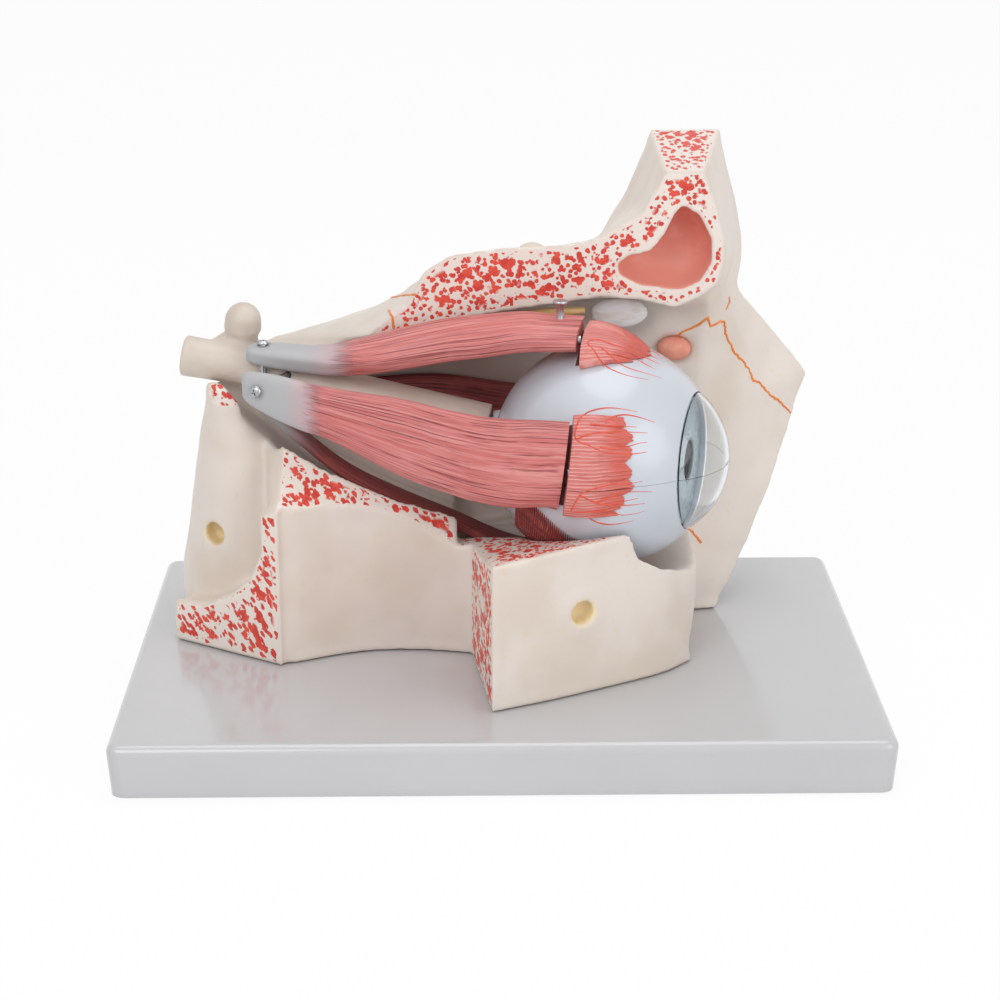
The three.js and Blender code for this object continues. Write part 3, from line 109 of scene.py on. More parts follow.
class Half(Enum):
    """Which side of the level seam a piece of the eyeball lies on."""

    UPPER = 1
    LOWER = -1


def paint(red: float, green: float, blue: float) -> Colour:
    """A colour written as on screen, 0 to 255, as linear light.

    Args:
        red: The red share.
        green: The green share.
        blue: The blue share.

    Returns:
        The colour as four linear numbers.
    """
    shares = [value / 255 for value in (red, green, blue)]
    linear = [s / 12.92 if s <= 0.04045 else ((s + 0.055) / 1.055) ** 2.4 for s in shares]
    return (linear[0], linear[1], linear[2], 1.0)


def between(rows: Sequence[Vector | float], share: float) -> Vector | float:
    """A value between the middle two of four, on a smooth curve through them.

    Args:
        rows: The four values.
        share: The share of the way from the second to the third.

    Returns:
        The value there.
    """
    a, b, c, d = rows
    start, end = (c - a) / 2, (d - b) / 2
    bend, turn = 2 * b - 2 * c + start + end, 3 * c - 3 * b - 2 * start - end
    return bend * share ** 3 + turn * share * share + start * share + b


def ease(value: float, low: float, high: float) -> float:
    """A smooth step from 0 at low to 1 at high."""
    share = min(max((value - low) / (high - low), 0.0), 1.0)
    return share * share * (3 - 2 * share)


def added(name: str, data: bpy.types.ID) -> Piece:
    """Adds an object with that data to the scene and returns it."""
    piece = bpy.data.objects.new(name, data)
    bpy.context.scene.collection.objects.link(piece)
    return piece


# Shader expressions


class Value:
    """A number in a node tree, on which Python's operators add Math nodes."""

    def __init__(self, nodes: Nodes, socket: Socket) -> None:
        """Wraps an output socket of the tree."""
        self.nodes = nodes
        self.socket = socket

    def math(self, operation: str, *others: Value | float) -> Value:
        """This value through a Math node with that operation."""
        return self.nodes.math(operation, self, *others)

    def __add__(self, other: Value | float) -> Value:
        """The sum."""
        return self.math("ADD", other)

    def __radd__(self, other: float) -> Value:
        """The sum with a number on the left."""
        return self.math("ADD", other)

    def __sub__(self, other: Value | float) -> Value:
        """The difference."""
        return self.math("SUBTRACT", other)

    def __rsub__(self, other: float) -> Value:
        """A number less this value."""
        return self.nodes.math("SUBTRACT", other, self)

    def __mul__(self, other: Value | float) -> Value:
        """The product."""
        return self.math("MULTIPLY", other)

    def __rmul__(self, other: float) -> Value:
        """The product with a number on the left."""
        return self.math("MULTIPLY", other)

    def __truediv__(self, other: Value | float) -> Value:
        """The quotient."""
        return self.math("DIVIDE", other)

    def step(self, low: float, high: float) -> Value:
        """A smooth step from 0 where the value is low to 1 where it is high."""
        made = self.nodes.node("ShaderNodeMapRange", {"interpolation_type": "SMOOTHSTEP"},
                               {"Value": self, "From Min": low, "From Max": high})
        return Value(self.nodes, made.outputs["Result"])


class Nodes:
    """A node tree that is built up by calls."""

    def __init__(self, tree: bpy.types.NodeTree) -> None:
        """Takes a tree and empties it."""
        self.tree = tree
        tree.nodes.clear()

    def node(self, kind: str, settings: dict[str, object] | None = None,
             inputs: dict[str | int, object] | None = None) -> bpy.types.Node:
        """Adds a node, sets its settings and then its inputs.

        Args:
            kind: The node's type.
            settings: Its properties by name.
            inputs: Numbers, colours, sockets or values by the socket's name or index.

        Returns:
            The new node.
        """
        made = self.tree.nodes.new(kind)
        for key, setting in (settings or {}).items():
            setattr(made, key, setting)
        for key, given in (inputs or {}).items():
            self.feed(made.inputs[key], given)
        return made

    def feed(self, socket: Socket, given: object) -> None:
        """Sets a socket to a number or colour, or links a value to it.

        Args:
            socket: The input socket.
            given: A number, a colour, an output socket or a value.
        """
        if isinstance(given, Value):
            given = given.socket
        if isinstance(given, Socket):
            self.tree.links.new(given, socket)
        else:
            socket.default_value = given

    def math(self, operation: str, *given: Value | float) -> Value:
        """A Math node on the given values."""
        inputs = dict(enumerate(given))
        return Value(self, self.node("ShaderNodeMath", {"operation": operation}, inputs).outputs[0])

    def either(self, share: object, low: bpy.types.Node, high: bpy.types.Node) -> Socket:
        """A surface or background between two others."""
        inputs = {0: share, 1: low.outputs[0], 2: high.outputs[0]}
        return self.node("ShaderNodeMixShader", None, inputs).outputs[0]

    def backdrop(self) -> Value:
        """Says where the background is looked at, also through glass and in gloss.

        Returns:
            1 for such a ray and 0 for the light that falls on the model.
        """
        path = self.node("ShaderNodeLightPath").outputs
        straight, through, gloss = (
            Value(self, path[f"Is {kind} Ray"]) for kind in ("Camera", "Transmission", "Glossy"))
        return straight.math("MAXIMUM", through).math("MAXIMUM", gloss)


class Shader(Nodes):
    """Builds one material's node tree round a Principled shader."""

    def __init__(self, name: str) -> None:
        """Makes an empty material.

        Args:
            name: The material's name.
        """
        self.material = bpy.data.materials.new(name)
        self.material.use_nodes = True
        super().__init__(self.material.node_tree)
        self.surface = self.node("ShaderNodeBsdfPrincipled")
        self.output = self.node("ShaderNodeOutputMaterial", None, {"Surface": self.surface.outputs[0]})

    def place(self, kind: str = "Object") -> Socket:
        """The piece's own coordinates, in metres, or its UV map."""
        return self.node("ShaderNodeTexCoord").outputs[kind]

    def axes(self, vector: Socket) -> tuple[Value, Value, Value]:
        """A vector's three numbers."""
        parts = self.node("ShaderNodeSeparateXYZ", None, {0: vector}).outputs
        return Value(self, parts[0]), Value(self, parts[1]), Value(self, parts[2])

    def vector(self, x: Value | float, y: Value | float, z: Value | float = 0.0) -> Socket:
        """A vector of three numbers."""
        return self.node("ShaderNodeCombineXYZ", None, {0: x, 1: y, 2: z}).outputs[0]

    def scaled(self, vector: Socket, by: Sequence[float]) -> Socket:
        """A vector times another, number by number."""
        settings = {"operation": "MULTIPLY"}
        return self.node("ShaderNodeVectorMath", settings, {0: vector, 1: tuple(by)}).outputs[0]

    def away(self, vector: Socket, point: Sequence[float]) -> Value:
        """The distance of coordinates from a point.

        Args:
            vector: The coordinates, in metres.
            point: The point, in millimetres.

        Returns:
            The distance in millimetres.
        """
        metres = tuple(number * MM for number in point)
        made = self.node("ShaderNodeVectorMath", {"operation": "DISTANCE"}, {0: vector, 1: metres})
        return Value(self, made.outputs[1]) * (1 / MM)

    def attribute(self, name: str) -> Value:
        """A number stored on the mesh."""
        return Value(self, self.node("ShaderNodeAttribute", {"attribute_name": name}).outputs["Fac"])

    def noise(self, vector: Socket, size: float, detail: float = 2.0, rough: float = 0.5) -> Value:
        """A cloud pattern.

        Args:
            vector: The coordinates, in metres.
            size: The size of its features in millimetres.
            detail: How many finer layers it has.
            rough: How strong these are.

        Returns:
            Its value, round 0.5.
        """
        inputs = {"Vector": vector, "Scale": 1 / (size * MM), "Detail": detail, "Roughness": rough}
        return Value(self, self.node("ShaderNodeTexNoise", None, inputs).outputs[0])

    def cells(self, vector: Socket, size: float) -> Value:
        """The distance from the middles of cells that have that size in millimetres."""
        inputs = {"Vector": vector, "Scale": 1 / (size * MM)}
        return Value(self, self.node("ShaderNodeTexVoronoi", None, inputs).outputs["Distance"])

    def mix(self, share: Value | float, low: object, high: object) -> Socket:
        """A colour between two others."""
        made = self.node("ShaderNodeMix", {"data_type": "RGBA"}, {0: share, 6: low, 7: high})
        return made.outputs[2]

    def relief(self, height: Value, depth: float) -> None:
        """Raises the surface by a height of 0 to 1 over that depth in millimetres."""
        made = self.node("ShaderNodeBump", None, {"Height": height, "Distance": depth * MM})
        self.feed(self.surface.inputs["Normal"], made.outputs[0])

    def dress(self, **sockets: object) -> Material:
        """Feeds the Principled shader's sockets, whose spaces are written as underscores.

        Returns:
            The finished material.
        """
        for name, given in sockets.items():
            self.feed(self.surface.inputs[name.replace("_", " ")], given)
        return self.material


# Finishes


@dataclass(frozen=True)
class BoneFinish:
    """Cream satin paint on resin, with the spongy inside of the bone painted on its cut faces."""

    name: str = "bone_paint"
    cream: Colour = paint(231, 220, 211)
    shade: Colour = paint(222, 208, 195)
    stain: Colour = paint(222, 200, 160)
    face: Colour = paint(237, 226, 217)
    red: Colour = paint(228, 82, 64)
    deep_red: Colour = paint(208, 62, 52)
    sinus: Colour = paint(220, 130, 113)
    sinus_light: Colour = paint(236, 166, 150)
    canal: Colour = paint(241, 221, 176)
    canals: tuple[Triple, ...] = ((26.7, -46.3, 49.0), (-100.6, 11.8, 58.0))
    lean: float = 0.0
    length: float = 1.0
    inward: float = 1.9

    def build(self) -> Material:
        """Makes the material.

        Returns:
            The material, which reads the attributes cut_depth and sinus of the mesh.
        """
        shader = Shader(self.name)
        place = shader.place()
        depth = shader.attribute("cut_depth")
        broad = shader.noise(place, 38, 3)
        fine = shader.noise(place, 5, 4, 0.6)
        grain = shader.noise(place, 0.8, 3, 0.6)
        skin = shader.mix(broad.step(0.42, 0.68), self.cream, self.shade)
        skin = shader.mix(fine.step(0.58, 0.75) * 0.25, skin, self.stain)
        skin = shader.mix(depth.step(0.2, 1.0), skin, self.face)
        across, inward, height = shader.axes(place)
        grid = shader.vector(
            across + height * self.lean, inward * (1 / self.inward), height * (1 / self.length))
        speck = shader.cells(grid, 2.0) + (shader.noise(place, 1.3, 2) - 0.5) * 0.45
        dots = (1 - speck.step(0.41, 0.46)) * shader.noise(place, 6.0, 1).step(0.32, 0.38)
        clump = shader.cells(grid, 4.4) + (shader.noise(place, 1.9, 2) - 0.5) * 1.0
        blobs = (1 - clump.step(0.37, 0.41)) * depth.step(2.2, 3.8)
        border = (depth + (shader.noise(place, 3.6, 1) - 0.5) * 1.3).step(0.95, 1.3)
        mark = blobs.math("MAXIMUM", dots) * border
        red = shader.mix(shader.noise(place, 3.2, 3).step(0.4, 0.62), self.red, self.deep_red)
        coloured = shader.mix(mark, skin, red)
        hollow = shader.attribute("sinus").step(0.4, 0.6) * inward.step(0.02025, 0.0207)
        lining = shader.mix(height.step(0.143, 0.170), self.sinus_light, self.sinus)
        lining = shader.mix(fine.step(0.45, 0.7) * 0.5, lining, self.sinus_light)
        coloured = shader.mix(hollow, coloured, lining)
        for canal in self.canals:
            reach = shader.away(place, canal) + (shader.noise(place, 2.2, 3) - 0.5) * 5
            coloured = shader.mix(1 - reach.step(3.8, 6.6), coloured, self.canal)
        shader.relief(grain * 0.25 + fine * 0.75 - mark * 0.5, 0.16)
        return shader.dress(Base_Color=coloured, Roughness=0.36 + grain * 0.16 + mark * 0.06,
                            Specular_IOR_Level=0.42)


@dataclass(frozen=True)
class FibreFinish:
    """Painted muscle: fibres along the piece's own UV map, running out into a tendon."""

    name: str
    flesh: Colour
    light: Colour
    dark: Colour
    tendon: Colour
    lilac: Colour
    turn_at: float
    turn_over: float
    lines: float = 64
    runs: float = 3.6
    depth: float = 0.5

    def build(self) -> Material:
        """Makes the material.

        Returns:
            The material, which reads the mesh's UV map: along the muscle and round it.
        """
        shader = Shader(self.name)
        place = shader.place()
        along, around, _ = shader.axes(shader.place("UV"))
        wander = (shader.noise(place, 9, 2) - 0.5) * 0.013
        grid = shader.vector(along * self.runs, (around + wander) * self.lines)
        wide = shader.noise(grid, UV_SIZE, 2, 0.6)
        grid = shader.vector(along * self.runs * 2.6, (around + wander * 0.5) * self.lines * 3.1)
        thin = shader.noise(grid, UV_SIZE, 3, 0.6)
        grid = shader.vector(along * 2.6 + 7.7, (around + wander * 0.4) * self.lines * 1.55)
        long_line = shader.noise(grid, UV_SIZE, 0)
        stroke = long_line.step(0.60, 0.68) * shader.noise(place, 14, 2).step(0.34, 0.52)
        flesh = shader.mix(wide.step(0.35, 0.68), self.flesh, self.light)
        flesh = shader.mix(thin.step(0.52, 0.70) * 0.6, flesh, self.dark)
        flesh = shader.mix(stroke * 0.75, flesh, self.dark)
        length, _, _ = shader.axes(place)
        reach = (length * (1 / MM) - self.turn_at) * (1 / self.turn_over)
        reach = reach + (thin - 0.5) * 1.1 + (wide - 0.5) * 0.8
        fleshy = reach.step(0.25, 1.0)
        coloured = shader.mix(reach.step(-0.6, 0.4), self.tendon, self.lilac)
        coloured = shader.mix(fleshy, coloured, flesh)
        ridge = (wide * 0.5 + thin * 0.5 - stroke * 0.5) * fleshy
        shader.relief(ridge + shader.noise(place, 0.7, 2) * 0.08, self.depth)
        return shader.dress(Base_Color=coloured, Roughness=0.47 - fleshy * 0.07 + thin * 0.1,
                            Specular_IOR_Level=0.4)


@dataclass(frozen=True)
class StumpFinish:
    """The muscle's end on the ball: fine stripes that run out into orange lobes."""

    name: str
    flesh: Colour = paint(217, 126, 120)
    stripe: Colour = paint(233, 164, 156)
    dark: Colour = paint(188, 82, 78)
    lobe: Colour = paint(216, 102, 86)
    lines: float = 30

    def build(self) -> Material:
        """Makes the material.

        Returns:
            The material, which reads the mesh's UV map: forwards and across.
        """
        shader = Shader(self.name)
        place = shader.place()
        along, across, _ = shader.axes(shader.place("UV"))
        sway = (shader.noise(place, 6, 2) - 0.5) * 0.03
        wave = ((across + sway) * (self.lines * 2 * math.pi)).math("SINE") * 0.5 + 0.5
        thin = shader.noise(shader.vector(along * 3, (across + sway) * self.lines * 3.4), UV_SIZE, 2)
        flesh = shader.mix(wave.step(0.45, 0.95) * (1 - along.step(0.45, 0.8)), self.flesh, self.stripe)
        patch = along + (shader.noise(place, 5, 2) - 0.5) * 0.7
        flesh = shader.mix(patch.step(0.35, 0.9) * 0.85, flesh, self.lobe)
        flesh = shader.mix(thin.step(0.5, 0.66) * 0.55, flesh, self.dark)
        shader.relief(wave * 0.5 + thin * 0.5, 0.4)
        return shader.dress(Base_Color=flesh, Roughness=0.36 + thin * 0.12, Specular_IOR_Level=0.45)


@dataclass(frozen=True)
class CombFinish:
    """The outer end of the lower oblique muscle: dark strips side by side."""

    name: str = "oblique_strips"
    flesh: Colour = paint(176, 88, 83)
    light: Colour = paint(208, 138, 130)
    dark: Colour = paint(118, 44, 44)
    strips: float = 32

    def build(self) -> Material:
        """Makes the material.

        Returns:
            The material, which reads the mesh's UV map: forwards and across.
        """
        shader = Shader(self.name)
        along, across, _ = shader.axes(shader.place("UV"))
        sway = (shader.noise(shader.place(), 9, 2) - 0.5) * 0.004
        wave = ((along + sway) * (self.strips * 2 * math.pi)).math("SINE") * 0.5 + 0.5
        thin = shader.noise(shader.vector(along * 90, across * 4), UV_SIZE, 2)
        flesh = shader.mix(wave.step(0.1, 0.9), self.dark, self.flesh)
        flesh = shader.mix(thin.step(0.55, 0.7) * wave, flesh, self.light)
        shader.relief(wave * 0.7 + thin * 0.3, 0.5)
        return shader.dress(Base_Color=flesh, Roughness=0.42 + thin * 0.1)


@dataclass(frozen=True)
class PaintedFinish:
    """A painted or moulded surface: two close tones in clouds, with a fine grain."""

    name: str
    tone: Colour
    other: Colour
    roughness: float
    cloud: float = 12
    grain: float = 0.8
    depth: float = 0.05
    coat: float = 0.0
    streak: Triple = (1, 1, 1)
    metallic: float = 0.0

    def build(self) -> Material:
        """Makes the material.

        Returns:
            The material.
        """
        shader = Shader(self.name)
        place = shader.scaled(shader.place(), self.streak)
        cloud = shader.noise(place, self.cloud, 3, 0.55)
        grain = shader.noise(place, self.grain, 3, 0.6)
        tone = shader.mix(cloud.step(0.35, 0.68), self.tone, self.other)
        shader.relief(grain * 0.7 + cloud * 0.3, self.depth)
        return shader.dress(Base_Color=tone, Roughness=self.roughness + (grain - 0.5) * 0.12,
                            Coat_Weight=self.coat, Coat_Roughness=0.06, Metallic=self.metallic)


@dataclass(frozen=True)
class IrisFinish:
    """Blue-grey iris with fibres that run out from the pupil."""

    middle: Triple
    side: Pair
    name: str = "iris_paint"
    outer: Colour = paint(120, 142, 152)
    inner: Colour = paint(176, 190, 192)
    dark: Colour = paint(66, 84, 96)

    def build(self) -> Material:
        """Makes the material.

        Returns:
            The material.
        """
        shader = Shader(self.name)
        place = shader.place()
        x, y, z = shader.axes(place)
        width = (x - self.middle[0] * MM) * self.side[0] + (y - self.middle[1] * MM) * self.side[1]
        height = z - self.middle[2] * MM
        radius = (width * width + height * height + 1e-9).math("SQRT")
        around = shader.vector(width / radius, height / radius, radius * 30)
        fibre = shader.noise(around, 55, 3, 0.65)
        rays = shader.noise(around, 160, 2)
        tone = shader.mix(radius.step(0.008, 0.021), self.inner, self.outer)
        tone = shader.mix(fibre.step(0.5, 0.62) * 0.75, tone, self.dark)
        tone = shader.mix(rays.step(0.5, 0.7) * 0.4, tone, self.inner)
        rims = (1 - radius.step(0.0072, 0.0086)) + radius.step(0.0212, 0.0228)
        tone = shader.mix(rims.math("MINIMUM", 1.0) * 0.8, tone, self.dark)
        shader.relief(fibre, 0.4)
        return shader.dress(Base_Color=tone, Roughness=0.34 + fibre * 0.1, Coat_Weight=0.3)


@dataclass(frozen=True)
class ClearFinish:
    """Clear cast plastic, which lets the lamps' light through to what it covers."""

    name: str
    tint: Colour
    roughness: float = 0.03
    refraction: float = 1.46
    haze: Colour = paint(226, 232, 236)
    shadow: Colour = (0.93, 0.95, 0.96, 1)

    def build(self) -> Material:
        """Makes the material.

        Returns:
            The material.
        """
        shader = Shader(self.name)
        place = shader.place()
        haze = shader.noise(place, 9, 3)
        tint = shader.mix(haze.step(0.3, 0.8) * 0.35, self.tint, self.haze)
        material = shader.dress(Base_Color=tint, Transmission_Weight=1.0, IOR=self.refraction,
                                Roughness=haze * 0.03 + self.roughness)
        rays = shader.node("ShaderNodeLightPath").outputs["Is Shadow Ray"]
        through = shader.node("ShaderNodeBsdfTransparent", None, {0: self.shadow})
        shader.feed(shader.output.inputs["Surface"], shader.either(rays, shader.surface, through))
        return material


# Modelling


class Workbench:
    """The modelling steps that the sub-assemblies share, each as done by hand."""

    merge_distance = 0.002

    def __init__(self, frame: dict[str, object]) -> None:
        """Keeps the loaded frame at hand."""
        self.frame = frame

    def clear(self) -> None:
        """Leaves edit mode and deselects everything."""
        if bpy.context.object is not None and bpy.context.object.mode != "OBJECT":
            bpy.ops.object.mode_set(mode="OBJECT")
        bpy.ops.object.select_all(action="DESELECT")

    def pick(self, *pieces: Piece) -> None:
        """Selects only some pieces, the first one active.

        Args:
            pieces: The pieces.
        """
        self.clear()
        for piece in pieces:
            piece.select_set(True)
        bpy.context.view_layer.objects.active = pieces[0]

    def named(self, name: str) -> Piece:
        """Names the piece that was just added and applies its place.

        Args:
            name: The name.

        Returns:
            The piece.
        """
        piece = bpy.context.object
        piece.name = name
        piece.data.name = name
        bpy.ops.object.transform_apply(location=True, rotation=True, scale=True)
        return piece

    def drawn(self, name: str, points: Sequence[Vector], edges: Sequence[tuple[int, int]]) -> Piece:
        """A new piece from points in millimetres.

        Args:
            name: The piece's name.
            points: Its corners.
            edges: Pairs of corners.

        Returns:
            The piece, selected and active.
        """
        mesh = bpy.data.meshes.new(name)
        mesh.from_pydata([point * MM for point in points], edges, ())
        piece = added(name, mesh)
        self.pick(piece)
        return piece

    def opened(self, piece: Piece) -> None:
        """Opens a piece in edit mode with everything on it selected."""
        self.pick(piece)
        bpy.ops.object.mode_set(mode="EDIT")
        bpy.ops.mesh.select_all(action="SELECT")

    def closed(self) -> None:
        """Leaves edit mode."""
        bpy.ops.object.mode_set(mode="OBJECT")

    def moved(self, piece: Piece, spots: Iterable[Vector]) -> None:
        """Moves the corners of a piece to new places, in metres."""
        piece.data.vertices.foreach_set("co", [number for spot in spots for number in spot])
        piece.data.update()

    def coated(self, piece: Piece, material: Material) -> None:
        """Gives a piece that material alone."""
        piece.data.materials.clear()
        piece.data.materials.append(material)

    def choose(self, piece: Piece, kind: str, test: Callable[[object], bool]) -> None:
        """Opens a piece in edit mode with some of its parts selected.

        Args:
            piece: The piece.
            kind: VERT, EDGE or FACE.
            test: Says which corners, edges or faces are selected.
        """
        self.opened(piece)
        bpy.ops.mesh.select_mode(type=kind)
        bpy.ops.mesh.select_all(action="DESELECT")
        held = bmesh.from_edit_mesh(piece.data)
        for part in {"VERT": held.verts, "EDGE": held.edges, "FACE": held.faces}[kind]:
            if test(part):
                part.select_set(True)
        held.select_flush_mode()
        bmesh.update_edit_mesh(piece.data)

    def tidy(self, piece: Piece) -> None:
        """Merges doubles and turns the faces outwards.

        Args:
            piece: The piece, which is changed.
        """
        self.opened(piece)
        bpy.ops.mesh.remove_doubles(threshold=self.merge_distance * MM)
        bpy.ops.mesh.normals_make_consistent(inside=False)
        self.closed()

    def grid(self, name: str, columns: int, rows: int) -> Piece:
        """A flat grid from -1 to 1 both ways, which has a UV map."""
        self.clear()
        bpy.ops.mesh.primitive_grid_add(x_subdivisions=columns, y_subdivisions=rows, size=2)
        return self.named(name)

    def sleeve(self, name: str, columns: int, rows: int, place: Place) -> Piece:
        """A closed sleeve: a grid rolled up and capped, which keeps its UV map.

        Args:
            name: The piece's name.
            columns: Steps along it.
            rows: Steps round it.
            place: The point for a share along it and a share round it.

        Returns:
            The piece.
        """
        piece = self.grid(name, columns, rows)
        self.moved(piece, (place((c.co.x + 1) / 2, ((c.co.y + 1) / 2) % 1.0) * MM
                           for c in piece.data.vertices))
        self.tidy(piece)
        self.opened(piece)
        bpy.ops.mesh.fill_holes(sides=0)
        bpy.ops.mesh.normals_make_consistent(inside=False)
        self.closed()
        return piece

    def pad(self, name: str, columns: int, rows: int, top: Place, under: Place) -> Piece:
        """A closed pad between two surfaces: a grid extruded once, which keeps its UV map.

        Args:
            name: The piece's name.
            columns: Steps forwards.
            rows: Steps across.
            top: The outer point for a share forwards and a share across.
            under: The inner point for the same shares.

        Returns:
            The piece.
        """
        piece = self.grid(name, columns, rows)
        self.opened(piece)
        bpy.ops.mesh.extrude_region_move()
        self.closed()
        self.moved(piece, ((top if c.select else under)((c.co.x + 1) / 2, (c.co.y + 1) / 2) * MM
                           for c in piece.data.vertices))
        self.tidy(piece)
        return piece

    def turned(self, name: str, profile: Sequence[Pair], origin: Vector, axis: Vector,
               segments: int) -> Piece:
        """A turned piece: an outline spun about an axis.

        Args:
            name: The piece's name.
            profile: Pairs of radius and distance along the axis.
            origin: The point that distances are taken from.
            axis: The axis.
            segments: The steps of the spin.

        Returns:
            The piece.
        """
        out = axis.normalized()
        side = out.orthogonal().normalized()
        points = [origin + out * distance + side * radius for radius, distance in profile]
        piece = self.drawn(name, points, [(i, i + 1) for i in range(len(points) - 1)])
        self.opened(piece)
        bpy.ops.mesh.spin(steps=segments, angle=2 * math.pi, center=origin * MM, axis=out)
        self.closed()
        self.tidy(piece)
        return piece

    def rod(self, name: str, start: Vector, end: Vector, radius: float) -> Piece:
        """A round bar between two points."""
        length = (end - start).length
        return self.turned(name, [(0, 0), (radius, 0), (radius, length), (0, length)], start,
                           end - start, 40)

    def block(self, name: str, low: Sequence[float], high: Sequence[float]) -> Piece:
        """A block between two corners.

        Args:
            name: The piece's name.
            low: Its lowest corner, in millimetres.
            high: Its highest corner.

        Returns:
            The piece.
        """
        self.clear()
        middle = [(a + b) / 2 * MM for a, b in zip(low, high)]
        size = [(b - a) * MM for a, b in zip(low, high)]
        bpy.ops.mesh.primitive_cube_add(size=1, location=middle, scale=size)
        return self.named(name)

    def modify(self, piece: Piece, kind: str, **settings: object) -> None:
        """Adds a modifier and applies it.

        Args:
            piece: The piece, which is changed.
            kind: The modifier's type.
            settings: Its properties by name.
        """
        self.pick(piece)
        bpy.ops.object.modifier_add(type=kind)
        modifier = piece.modifiers[-1]
        for key, setting in settings.items():
            setattr(modifier, key, setting)
        bpy.ops.object.modifier_apply(modifier=modifier.name)

    def combine(self, piece: Piece, tool: Piece, operation: str) -> None:
        """Joins, cuts or intersects a piece with a tool, which is then removed.

        Args:
            piece: The piece, which is changed.
            tool: The other piece.
            operation: UNION, DIFFERENCE or INTERSECT.
        """
        self.modify(piece, "BOOLEAN", operation=operation, object=tool, solver="EXACT")
        bpy.data.objects.remove(tool, do_unlink=True)
        self.tidy(piece)

    def joined(self, name: str, pieces: Sequence[Piece]) -> Piece:
        """Several pieces as one.

        Args:
            name: The new piece's name.
            pieces: The pieces.

        Returns:
            The piece.
        """
        self.pick(*pieces)
        if len(pieces) > 1:
            bpy.ops.object.join()
        piece = bpy.context.object
        piece.name = piece.data.name = name
        return piece

    def solids(self, name: str, nodes: Iterable[str]) -> Piece:
        """A merged copy of some of the frame's solids.

        Args:
            name: The piece's name.
            nodes: The names of the solids.

        Returns:
            The piece, with its own mesh.
        """
        copies = [added(f"{name}_{node}", self.frame["nodes"][node].data.copy()) for node in nodes]
        piece = self.joined(name, copies)
        self.tidy(piece)
        return piece

    def remeshed(self, piece: Piece, voxel: float) -> None:
        """Gives a piece an even mesh with faces of that size in millimetres."""
        self.modify(piece, "REMESH", mode="VOXEL", voxel_size=voxel * MM)

    def halved(self, piece: Piece, half: Half, gap: float = SEAT) -> None:
        """Keeps one side of the ball's level seam and closes the cut.

        Args:
            piece: The piece, which is changed.
            half: The side that stays.
            gap: The room between the two halves, in millimetres.
        """
        self.opened(piece)
        bpy.ops.mesh.bisect(
            plane_co=(0, 0, (EYE.z + half.value * gap / 2) * MM), plane_no=UP, use_fill=True,
            clear_inner=half is Half.UPPER, clear_outer=half is Half.LOWER)
        self.closed()
        self.tidy(piece)

    def tube(self, name: str, runs: Sequence[Sequence[tuple[Vector, float]]]) -> Piece:
        """Fine round lines as one piece.

        Args:
            name: The piece's name.
            runs: For each line its points with their radii, in millimetres.

        Returns:
            The piece, as a mesh.
        """
        self.clear()
        curve = bpy.data.curves.new(name, "CURVE")
        curve.dimensions = "3D"
        curve.bevel_depth = MM
        curve.bevel_resolution = 2
        curve.use_fill_caps = True
        for run in runs:
            spline = curve.splines.new("POLY")
            spline.points.add(len(run) - 1)
            for point, (spot, radius) in zip(spline.points, run):
                point.co = (*(spot * MM), 1)
                point.radius = radius
        self.pick(added(name, curve))
        bpy.ops.object.convert(target="MESH")
        piece = bpy.context.object
        self.tidy(piece)
        return piece

    def smoothed(self, piece: Piece, weights: Sequence[float], factor: float, times: int) -> None:
        """Smooths a piece, each corner as far as its weight allows.

        Args:
            piece: The piece, which is changed.
            weights: One weight of 0 to 1 per corner.
            factor: How far each pass smooths.
            times: The number of passes.
        """
        group = piece.vertex_groups.new(name="loose")
        for index, weight in enumerate(weights):
            if weight > 0.01:
                group.add([index], weight, "REPLACE")
        self.modify(piece, "SMOOTH", factor=factor, iterations=times, vertex_group="loose")
        piece.vertex_groups.clear()

    def store(self, piece: Piece, name: str, values: Sequence[float]) -> None:
        """Stores one number per corner on the mesh."""
        kept = piece.data.attributes.new(name, "FLOAT", "POINT")
        kept.data.foreach_set("value", values)

    def finished(self, piece: Piece, material: Material, body: Body, slot: str,
                 nodes: Sequence[str], angle: float) -> Piece:
        """Dresses a piece, sets it on its body and hides the frame's nodes that it stands for.

        Args:
            piece: The finished mesh.
            material: Its material.
            body: The body that it rides on.
            slot: The record's slot for the piece; it is not used.
            nodes: The frame's nodes that it replaces.
            angle: Edges sharper than this many degrees stay crisp.

        Returns:
            The piece.
        """
        self.pick(piece)
        self.coated(piece, material)
        bpy.ops.object.shade_smooth_by_angle(angle=math.radians(angle))
        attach(piece, body.value)
        if nodes:
            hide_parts(*nodes)
        LOG.info("%s: %d faces on %s", piece.name, len(piece.data.polygons), body.value)
        return piece


@dataclass
class Assembly:
    """A sub-assembly, with the workbench that it is modelled on."""

    bench: Workbench


# The photograph's camera, and the light


